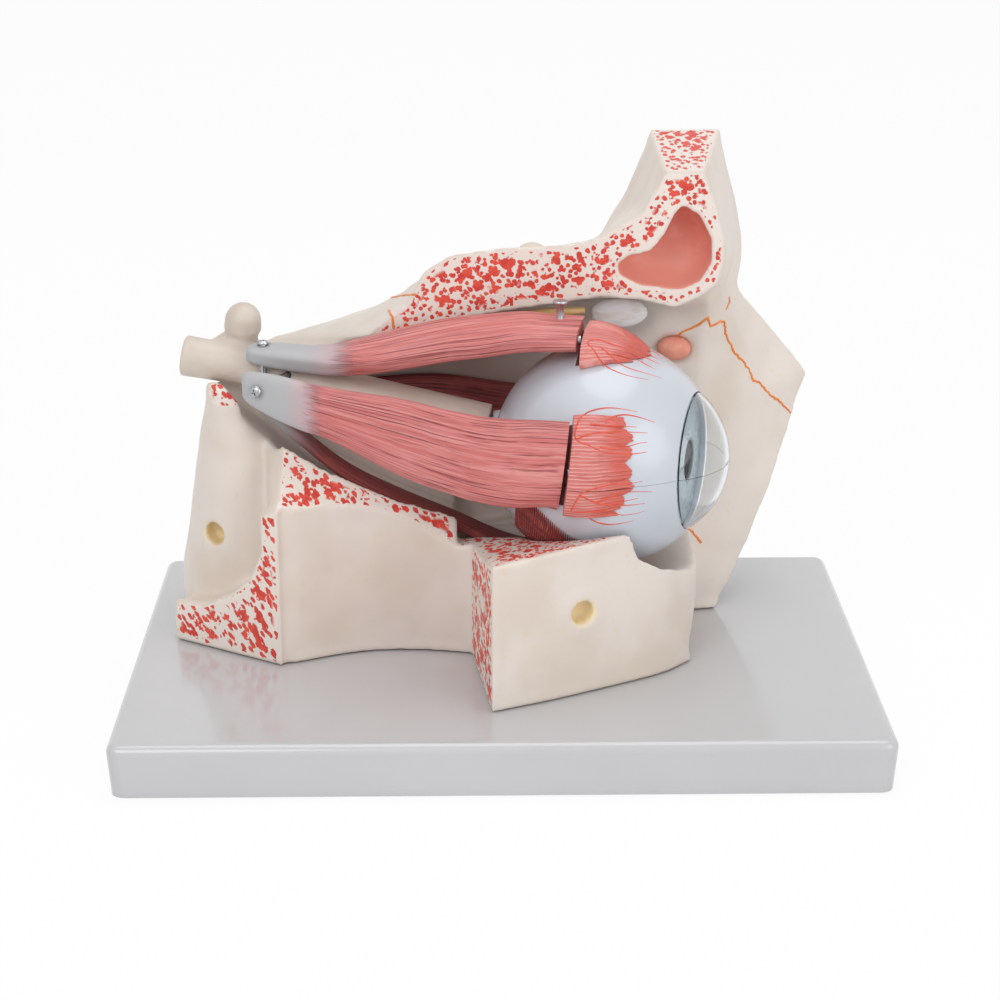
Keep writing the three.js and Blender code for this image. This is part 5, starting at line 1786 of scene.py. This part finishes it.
    def iris(self, half: Half) -> Piece:
        """Half of the iris, a shallow dish with a soft inner edge.

        Args:
            half: The half.

        Returns:
            The piece.
        """
        rim, dish = self.iris_radius - SEAT, self.iris_thickness / 2
        p = self.iris_plane
        front = []
        for i in range(21):
            share = i / 20
            wave = self.iris_wave * math.sin(share * math.pi * 5) * math.sin(share * math.pi)
            radius = self.pupil + 0.3 + (rim - self.pupil - 0.3) * share
            front.append((radius, p + self.iris_thickness - 0.1 - dish * share + wave))
        profile = [(self.pupil, p + 0.2), (self.pupil + 0.5, p), (rim, p - dish), *reversed(front),
                   (self.pupil, p + self.iris_thickness - 0.35), (self.pupil, p + 0.2)]
        piece = self.turned(f"iris_disc_{half.name.lower()}", profile)
        self.bench.halved(piece, half)
        return piece

    def lens_profile(self, grown: float) -> list[Pair]:
        """The outline of the lens, or of its room in the clear body.

        Args:
            grown: How much larger it is all round, in millimetres.

        Returns:
            Pairs of radius and distance along the axis.
        """
        steps = 40
        rim, half = self.lens_radius + grown, self.lens_thickness / 2 + grown
        angles = [-math.pi / 2 + math.pi * i / steps for i in range(steps + 1)]
        return [(abs(rim * math.cos(a)), self.lens_middle + half * math.sin(a)) for a in angles]

    def vitreous(self) -> Piece:
        """The clear body, flat in front with a dish for the lens.

        Returns:
            The piece.
        """
        radius = self.choroid_radius - self.choroid_wall - self.vitreous_gap
        front = self.lens_middle + 0.5
        rim = self.lens_radius + SEAT
        dish = [(r, d) for r, d in self.lens_profile(SEAT) if d <= self.lens_middle]
        profile = [*self.arc(0, radius, math.pi, math.acos(front / radius), 40), (rim, front),
                   *reversed(dish)]
        return self.turned("clear_body", profile)

    def build(self) -> list[Piece]:
        """Makes and dresses the ball.

        Returns:
            The two halves of the sclera.
        """
        white = PaintedFinish("sclera_white", paint(203, 208, 217), paint(199, 204, 213), 0.22, cloud=26,
                              grain=1.2, depth=0.015, coat=0.25).build()
        deep = PaintedFinish("choroid_red", paint(126, 52, 48), paint(96, 36, 36), 0.45, cloud=7, grain=0.9,
                             depth=0.12).build()
        iris = IrisFinish(tuple(EYE + self.axis * self.iris_plane), (-self.axis.y, self.axis.x)).build()
        clear = ClearFinish("clear_cast", paint(246, 249, 251)).build()
        glassy = ClearFinish("clear_jelly", paint(236, 243, 247), 0.04, 1.34).build()
        lens = ClearFinish("clear_lens", paint(246, 244, 232), 0.03, 1.42).build()
        shells = []
        for half, shell, inner in ((Half.UPPER, Body.UPPER_SHELL, Body.UPPER_CHOROID),
                                   (Half.LOWER, Body.EYEBALL, Body.EYEBALL)):
            side = half.name.lower()
            white_half = self.sclera(half)
            shells.append(self.bench.finished(white_half, white, shell, "sclera", [f"sclera_{side}"], 35))
            self.bench.finished(self.cornea(half), clear, shell, "clear", [f"cornea_{side}"], 35)
            self.bench.finished(self.choroid(half), deep, inner, "choroid", [f"choroid_{side}"], 35)
            self.bench.finished(self.iris(half), iris, inner, "iris", [f"iris_{side}"], 50)
        self.bench.finished(self.vitreous(), glassy, Body.VITREOUS, "clear", ["vitreous_body"], 35)
        crystal = self.turned("crystal_lens", self.lens_profile(0))
        self.bench.finished(crystal, lens, Body.LENS, "clear", ["lens"], 50)
        return shells


@dataclass
class Stump:
    """A muscle's end on the ball: thick at the gap, thinning out into lobes at its insertion."""

    name: str
    out: Vector
    across: Vector
    start: float
    finish: float
    spread: Pair
    thickness: float
    lobes: float
    scallop: float
    line: tuple[Pair, ...] = ()
    line_axis: int = 1
    under: float = 0.35
    thin: float = 0.25
    taper: float = 0.0
    fall: float = 0.0
    rounding: float = 4.0
    tooth: float = 0.34
    teeth: int = 32
    groove: float = 0.10
    stray: float = 3.2
    feather: float = 1.5
    columns: int = 46
    rows: int = 130

    def direction(self, beta: float, alpha: float) -> Vector:
        """The way from the ball's centre to a point of the ball.

        Args:
            beta: The angle forwards, in degrees.
            alpha: The angle across.

        Returns:
            The direction.
        """
        b, a = math.radians(beta), math.radians(alpha)
        flat = self.across * math.sin(a) + self.out * math.cos(a)
        return Vector((1, 0, 0)) * math.sin(b) + flat * math.cos(b)

    def rear(self, alpha: float, reach: float) -> float:
        """The angle forwards at which the stump starts.

        Args:
            alpha: The angle across, in degrees.
            reach: The distance from the ball's centre, in millimetres.

        Returns:
            The angle of its end line, or the set angle without one, in degrees.
        """
        if not self.line:
            return self.start
        beta = self.start
        (a, xa), (b, xb) = sorted(self.line)
        for _ in range(6):
            spot = EYE + self.direction(beta, alpha) * reach
            x = xa + (xb - xa) * (spot[self.line_axis] - a) / (b - a)
            beta = math.degrees(math.asin((x - EYE.x) / reach))
        return beta

    def spot(self, forward: float, share: float, inner: bool) -> Vector:
        """A point of the stump.

        Args:
            forward: The share from the gap to the front.
            share: The share across.
            inner: True for the side on the ball.

        Returns:
            The point in millimetres.
        """
        low, high = self.spread
        middle = (low + high) / 2
        narrow = 1 - self.taper * forward ** 1.5
        tooth = ease(forward, 0.1, 1) + self.tooth * abs(math.sin(forward * math.pi * self.teeth))
        low = middle + (low - middle) * narrow
        high = middle + (high - middle) * narrow - self.fall * tooth
        alpha = low + (high - low) * share
        height = self.thickness + (self.thin - self.thickness) * forward ** 1.4
        bulge = 1 - abs(2 * share - 1) ** 5
        groove = self.groove * math.sin(share * self.rows * 1.35) * ease(forward, 0, 0.1)
        lift = height * (0.45 + 0.55 * bulge) + groove * min(height, 1)
        wave = abs(math.cos(math.pi * self.lobes * share + 0.6)) ** 0.55
        front = self.finish - self.scallop * (1 - wave)
        stray = noise.noise(Vector((share * self.lobes * 0.8, self.start, 0.5))) * self.stray
        feather = noise.noise(Vector((share * 42, self.start, 5.5))) * self.feather
        front += stray + feather - self.rounding * abs(2 * share - 1) ** 4
        reach = EYE_RADIUS + (self.under if inner else max(lift, self.under + 0.08))
        rear = self.rear(alpha, reach)
        return EYE + self.direction(rear + (front - rear) * forward, alpha) * reach

    def model(self, bench: Workbench) -> Piece:
        """Models the stump."""
        return bench.pad(self.name, self.columns, self.rows, lambda u, v: self.spot(u, v, False),
                         lambda u, v: self.spot(u, v, True))


class Stumps(Assembly):
    """The muscle ends on the ball, the thick ones at their gaps and the thin ones below and behind."""

    gap_width = 1.9
    gap_trim = 4
    superior = Stump("upper_stump", UP, ACROSS, -14, 20.8, (-25.5, 19.5), 7.3, 5, 3.0,
                     ((60, 42.8), (-60, 18.8)), 1, taper=0.22, rounding=8)
    lateral = Stump("outer_stump", OUTWARD, UP, -24, 9.2, (-15.8, 35.7), 5.75, 6, 4.4,
                    ((140, 27.2), (60, 18.5)), 2, taper=0.04)
    medial = Stump("inner_stump", ACROSS, UP, -21.5, 9, (-17.5, 17.5), 1.35, 5, 2.4, under=-0.3)
    inferior = Stump("lower_stump", -UP, ACROSS, -15, 23, (-19.5, 19.5), 1.35, 5, 3, under=-0.3)
    oblique = Stump("oblique_strip", Vector((0, -0.63, -0.777)), Vector((0, -0.777, 0.63)), -51.5, -12,
                    (-21.5, 35), 1.3, 9, 1.6, under=-0.3, thin=1.0, fall=17, columns=256, rows=40)

    def gap_floors(self) -> None:
        """Paints the shell dark under the two gaps between a swinging muscle and its stump, as painted shade
        where the narrow slit lies in shadow.
        """
        shadow = PaintedFinish("gap_paint", paint(92, 42, 44), paint(70, 30, 34), 0.6, cloud=3, grain=0.6,
                               depth=0.05).build()
        rows = ((self.superior, Body.UPPER_SHELL, None), (self.lateral, Body.UPPER_SHELL, Half.UPPER),
                (self.lateral, Body.EYEBALL, Half.LOWER))
        for stump, body, half in rows:
            name = f"{stump.name}_gap" + (f"_{half.name.lower()}" if half else "")
            strip = replace(stump, line=tuple((side, x - self.gap_width) for side, x in stump.line))

            def spot(forward: float, share: float, lift: float, made: Stump = strip) -> Vector:
                """A point of the strip, which is a band beside the end line.

                Args:
                    forward: The share of its width.
                    share: The share of its length.
                    lift: The point's height over the shell.
                    made: The stump that it follows.

                Returns:
                    The point in millimetres.
                """
                low, high = made.spread[0] + self.gap_trim, made.spread[1] - self.gap_trim
                alpha = low + (high - low) * share
                reach = EYE_RADIUS + lift
                beta = made.rear(alpha, reach) + forward * math.degrees((self.gap_width + 0.6) / reach)
                return EYE + made.direction(beta, alpha) * reach

            piece = self.bench.pad(name, 4, 60, lambda u, v: spot(u, v, 0.4), lambda u, v: spot(u, v, -0.2))
            if half is not None:
                self.bench.halved(piece, half)
            self.bench.finished(piece, shadow, body, "dark_muscle", [], 50)

    def build(self) -> list[Piece]:
        """Makes and dresses the stumps.

        Returns:
            The thick stumps, which the painted vessels also cross.
        """
        stripes = StumpFinish("stump_stripes").build()
        comb = CombFinish().build()
        upper = self.bench.finished(self.superior.model(self.bench), stripes, Body.UPPER_SHELL, "muscle",
                                    ["superior_stump"], 50)
        made = [upper]
        bodies = {Half.UPPER: Body.UPPER_SHELL, Half.LOWER: Body.EYEBALL}
        for half, body in bodies.items():
            side = half.name.lower()
            for stump, nodes in ((self.lateral, [f"lateral_stump_{side}"]), (self.medial, [])):
                piece = stump.model(self.bench)
                self.bench.halved(piece, half)
                piece.name = f"{stump.name}_{side}"
                made.append(self.bench.finished(piece, stripes, body, "muscle", nodes, 50))
        self.gap_floors()
        self.bench.finished(self.inferior.model(self.bench), stripes, Body.EYEBALL, "muscle", [], 50)
        self.bench.finished(self.oblique.model(self.bench), comb, Body.EYEBALL, "dark_muscle", [], 50)
        return made


# Screws, small parts and painted lines


@dataclass
class Hardware(Assembly):
    """The pivot screws, the grip stud, and the finish of the hidden steel."""

    pivot_head: float = 2.2
    pivot_shank: float = 1.2
    head_height: float = 1.5
    recess: Triple = (2.3, 0.5, 1.5)
    recess_turn: float = 0.35
    stud: Triple = (21, -1.5, 138.6)
    stud_profile: tuple[Pair, ...] = (
        (0, -3), (1.3, -3), (1.45, -2.7), (1.45, 0.4), (1.25, 1.0), (1.3, 3.4), (1.6, 5.0), (2.2, 6.0),
        (2.55, 6.25), (2.6, 6.4), (2.6, 6.75), (2.5, 6.92), (2.2, 7), (0, 6.9))

    def pivot(self, name: str, place: tuple[Vector, Vector], reach: float) -> Piece:
        """A round-headed pivot screw with a cross recess.

        Args:
            name: The piece's name.
            place: The point where its head sits, and its axis.
            reach: How deep it goes, in millimetres.

        Returns:
            The piece.
        """
        spot, axis = place
        head, low = self.pivot_head, SEAT
        profile = [(0, -reach), (0.5, -reach), (self.pivot_shank, -reach + 2), (self.pivot_shank, low),
                   (head - 0.15, low), (head, low + 0.2)]
        for i in range(9):
            angle = math.pi / 2 * i / 8
            profile.append((head * math.cos(angle), low + 0.4 + (self.head_height - 0.4) * math.sin(angle)))
        profile[-1] = (0, low + self.head_height)
        piece = self.bench.turned(name, profile, spot, axis, 40)
        upright = axis.to_track_quat("Z", "Y")
        middle = (spot + axis * (low + self.head_height)) * MM
        for spin in (self.recess_turn, self.recess_turn + math.pi / 2):
            self.bench.clear()
            turn = upright @ Matrix.Rotation(spin, 3, "Z").to_quaternion()
            bpy.ops.mesh.primitive_cube_add(size=1, location=middle, rotation=turn.to_euler(),
                                            scale=Vector(self.recess) * MM)
            self.bench.combine(piece, self.bench.named(f"{name}_slot"), "DIFFERENCE")
        return piece

    def grip(self) -> Piece:
        """The stud, a flat-headed pin that widens under its head."""
        return self.bench.turned("grip_pin", self.stud_profile, Vector(self.stud), UP, 48)

    def build(self) -> None:
        """Makes and dresses the hardware."""
        zinc = PaintedFinish("zinc_steel", paint(186, 188, 190), paint(160, 164, 168), 0.28, cloud=1.6,
                             grain=0.5, depth=0.02, metallic=1.0).build()
        rows = ((self.pivot("upper_pivot", SUPERIOR_PIVOT, 15), Body.ORBIT, "superior_pivot_screw"),
                (self.pivot("outer_pivot", LATERAL_PIVOT, 25), Body.ORBIT, "lateral_pivot_screw"),
                (self.grip(), Body.SUPERIOR, "grip_stud"))
        for piece, body, node in rows:
            self.bench.finished(piece, zinc, body, "steel", [node], 35)
        for name in ("zygomatic_screw", "maxilla_screw", "sphenoid_screw", "nasal_screw",
                     "superior_magnet", "lateral_magnet", "superior_keeper", "lateral_keeper",
                     "seam_pin_front", "seam_pin_rear"):
            self.bench.coated(self.bench.frame["nodes"][name], zinc)


class SoftParts(Assembly):
    """The nerve under the brow, the tendon's pulley and the tear sac, softened from their solids."""

    pulley_scale = (1, 0.6, 0.82)
    pulley_middle = Vector((43.5, 35, 138.5))

    def build(self) -> None:
        """Makes and dresses the three small parts."""
        yellow = PaintedFinish("nerve_yellow", paint(228, 196, 138), paint(206, 164, 108), 0.5, cloud=2.4,
                               grain=0.6, depth=0.1, streak=(0.12, 1, 1))
        white = PaintedFinish("pulley_white", paint(234, 233, 235), paint(220, 209, 200), 0.85, cloud=2.2,
                              grain=0.5, depth=0.3, streak=(0.16, 1, 0.8))
        pink = PaintedFinish("sac_pink", paint(238, 162, 138), paint(228, 142, 120), 0.4, cloud=5,
                             grain=0.7, depth=0.06)
        rows = (("brow_nerve", "frontal_nerve", "yellow_nerve", 0.35, 6, yellow),
                ("tendon_pulley", "trochlea", "tendon", 0.6, 14, white),
                ("tear_sac", "lacrimal_sac", "gland", 0.5, 8, pink))
        for name, node, slot, voxel, times, finish in rows:
            piece = self.bench.solids(name, [node])
            self.bench.remeshed(piece, voxel)
            self.bench.smoothed(piece, [1.0] * len(piece.data.vertices), 0.5, times)
            if node == "trochlea":
                self.bench.opened(piece)
                bpy.ops.transform.resize(value=self.pulley_scale, center_override=self.pulley_middle * MM)
                self.bench.closed()
            self.bench.finished(piece, finish.build(), Body.ORBIT, slot, [node], 60)


@dataclass
class PaintedLines(Assembly):
    """Sutures on the bones and vessels on the ball, laid where the photograph shows them."""

    studio: Studio
    suture_radius: float = 0.48
    suture_wander: float = 0.14
    vessel_radius: float = 0.3
    vessel_taper: float = 0.17
    sutures: tuple[tuple[Pair, ...], ...] = (
        ((674, 340), (682, 332), (690, 329), (699, 324.5), (708, 317.5), (710.5, 326), (714, 325.3),
         (720.7, 321), (724.2, 321.8), (725.5, 333), (731, 345), (733.6, 352), (738, 356.3), (744, 362.3),
         (749, 369.2), (752.6, 380.4), (760, 383), (768, 393), (780, 402), (789, 410), (796.5, 424)),
        ((729.3, 297), (729.3, 303), (726, 309.3)),
        ((676.8, 531), (684.6, 529), (689.7, 530), (695.8, 536), (701, 543)),
        ((360, 309), (372, 304), (386, 299), (400, 296), (416, 294)),
        ((389, 310), (392, 317), (393.5, 323), (394, 329)),
    )
    vessels: tuple[tuple[Pair, ...], ...] = (
        ((580.4, 417.4), (590, 411.3), (605.4, 408), (621, 408.8), (637.2, 411.9)),
        ((580.4, 417.4), (576.1, 427.7), (576.5, 439.7), (590, 445.8), (605.4, 452.6), (619, 453.5)),
        ((605.4, 421.7), (614, 416.5), (626, 414.8), (639.8, 417.4), (655, 422.5)),
        ((577, 439), (590, 434), (606, 432.5), (626, 432), (647.6, 433)),
        ((590, 424), (603, 425.5), (617, 426), (636.7, 427)),
        ((600, 447), (612, 449), (626, 447), (640, 443), (647, 442.5)),
        ((605.4, 452.6), (626, 453.9), (637, 453.5), (647, 451.8)),
        ((571, 511), (575.3, 502.6), (582.2, 493), (597, 488), (614, 484.2), (628, 483.6), (642.4, 481.4)),
        ((580.4, 495.7), (597, 502.6), (609, 497.4), (622.6, 493), (636.4, 491.7), (652, 491.9)),
        ((582.2, 496.5), (597, 503.4), (610.6, 504), (622.6, 501.7), (637.8, 498.3)),
        ((598.5, 504.3), (614, 505.2), (629.5, 505.2), (645, 503.4)),
        ((572.7, 512), (590, 512), (609, 511.2), (621, 515), (634.7, 513.8), (644, 511.2)),
        ((589, 518), (598.5, 522.7), (609, 524.4), (622.6, 523.2), (633.8, 520.6)),
        ((587.3, 343.4), (590, 340.3), (598.5, 339.6), (605.4, 341.6), (614, 345), (629.5, 349.4)),
        ((587.3, 343.4), (593.4, 349.4), (599.4, 358.9), (605.4, 365.7), (614, 370.6), (629.5, 376),
         (648.8, 379.8)),
        ((600.2, 346.8), (608.9, 353.7), (617.5, 362.3), (629.5, 368.3), (643.3, 372.6), (661.3, 378)),
        ((636.4, 358.9), (645, 364), (655.7, 369.5)), ((643, 357), (652, 360.6), (660.5, 364.9)),
        ((646.7, 354.5), (654.5, 357.5), (660.5, 359.7)), ((650, 350.2), (657, 354), (662.2, 358)),
    )

    def fine(self, points: Sequence[Pair], step: float, shake: float) -> list[Pair]:
        """A line of picture points with more points between them on a smooth curve.

        Args:
            points: The line's points.
            step: The room between new points, in pixels.
            shake: How far they stray to the sides.

        Returns:
            The finer line.
        """
        found = []
        last = len(points) - 1
        for i in range(last):
            four = [Vector(points[min(max(k, 0), last)]) for k in range(i - 1, i + 3)]
            count = max(int((four[2] - four[1]).length / step), 1)
            for k in range(count):
                spot = four[1].lerp(four[2], k / count) if shake else between(four, k / count)
                stray = noise.noise(Vector((spot.x * 0.45, spot.y * 0.45, 3.3)))
                found.append((spot.x + stray * shake, spot.y - stray * shake))
        return [*found, points[-1]]

    def laid(self, trees: Sequence[BVHTree], line: Sequence[Pair], sink: float) -> list[Vector]:
        """Lays a line of picture points on the nearest of some surfaces.

        Args:
            trees: The surfaces.
            line: The picture points.
            sink: How far the line's middle lies under the surface, in millimetres.

        Returns:
            The points in millimetres.
        """
        found = []
        for u, v in line:
            start, direction = self.studio.ray(u, v)
            hits = [tree.ray_cast(start, direction) for tree in trees]
            hits = [hit for hit in hits if hit[0] is not None]
            if hits:
                spot, normal, _, _ = min(hits, key=lambda hit: hit[3])
                found.append(spot / MM - normal * sink)
        return found

    def build(self, bones: Sequence[Piece], shells: Sequence[Piece]) -> None:
        """Makes and dresses the lines.

        Args:
            bones: The bones that carry the sutures.
            shells: The shells and stumps that carry the vessels.
        """
        orange = PaintedFinish("suture_orange", paint(240, 142, 52), paint(226, 118, 48), 0.4, cloud=3,
                               grain=0.5, depth=0.03).build()
        red = PaintedFinish("vessel_red", paint(228, 92, 66), paint(216, 78, 60), 0.35, cloud=3, grain=0.5,
                            depth=0.03).build()
        graph = bpy.context.evaluated_depsgraph_get()
        trees = [BVHTree.FromObject(bone, graph) for bone in bones]
        runs = []
        for line in self.sutures:
            spots = self.laid(trees, self.fine(line, 1.4, 1.1), 0.12)
            runs.append([(spot, self.suture_radius + self.suture_wander * noise.noise(spot / 3))
                         for spot in spots])
        piece = self.bench.tube("painted_sutures", [run for run in runs if len(run) > 1])
        self.bench.finished(piece, orange, Body.ORBIT, "bone", [], 60)
        trees = [BVHTree.FromObject(shell, graph) for shell in shells]
        runs = {Body.UPPER_SHELL: [], Body.EYEBALL: []}
        for line in self.vessels:
            run = []
            spots = self.laid(trees, self.fine(line, 2.0, 0), 0.08)
            for index, spot in enumerate(spots):
                share = index / max(len(spots) - 1, 1)
                run.append((spot, self.vessel_radius - self.vessel_taper * ease(share, 0.3, 1)))
            if len(run) > 1:
                runs[Body.UPPER_SHELL if run[-1][0].z > EYE.z else Body.EYEBALL].append(run)
        names = {Body.UPPER_SHELL: "painted_vessels_upper", Body.EYEBALL: "painted_vessels_lower"}
        for body, name in names.items():
            self.bench.finished(self.bench.tube(name, runs[body]), red, body, "muscle", [], 60)


def main() -> None:
    """Builds the whole model on the frame, piece by piece."""
    logging.basicConfig(level=logging.INFO, format="%(name)s %(message)s")
    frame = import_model()
    bpy.context.view_layer.update()
    bench = Workbench(frame)
    studio = Studio(bench)
    studio.build()
    BasePlate(bench).build()
    bones = Bones(bench).build()
    nerve = OpticNerve(bench)
    nerve.build()
    Muscles(bench).build(nerve)
    shells = Eyeball(bench).build()
    stumps = Stumps(bench).build()
    Hardware(bench).build()
    SoftParts(bench).build()
    PaintedLines(bench, studio).build(bones, [*shells, *stumps])
    bench.clear()
    bpy.context.view_layer.update()


if __name__ == "__main__":
    main()
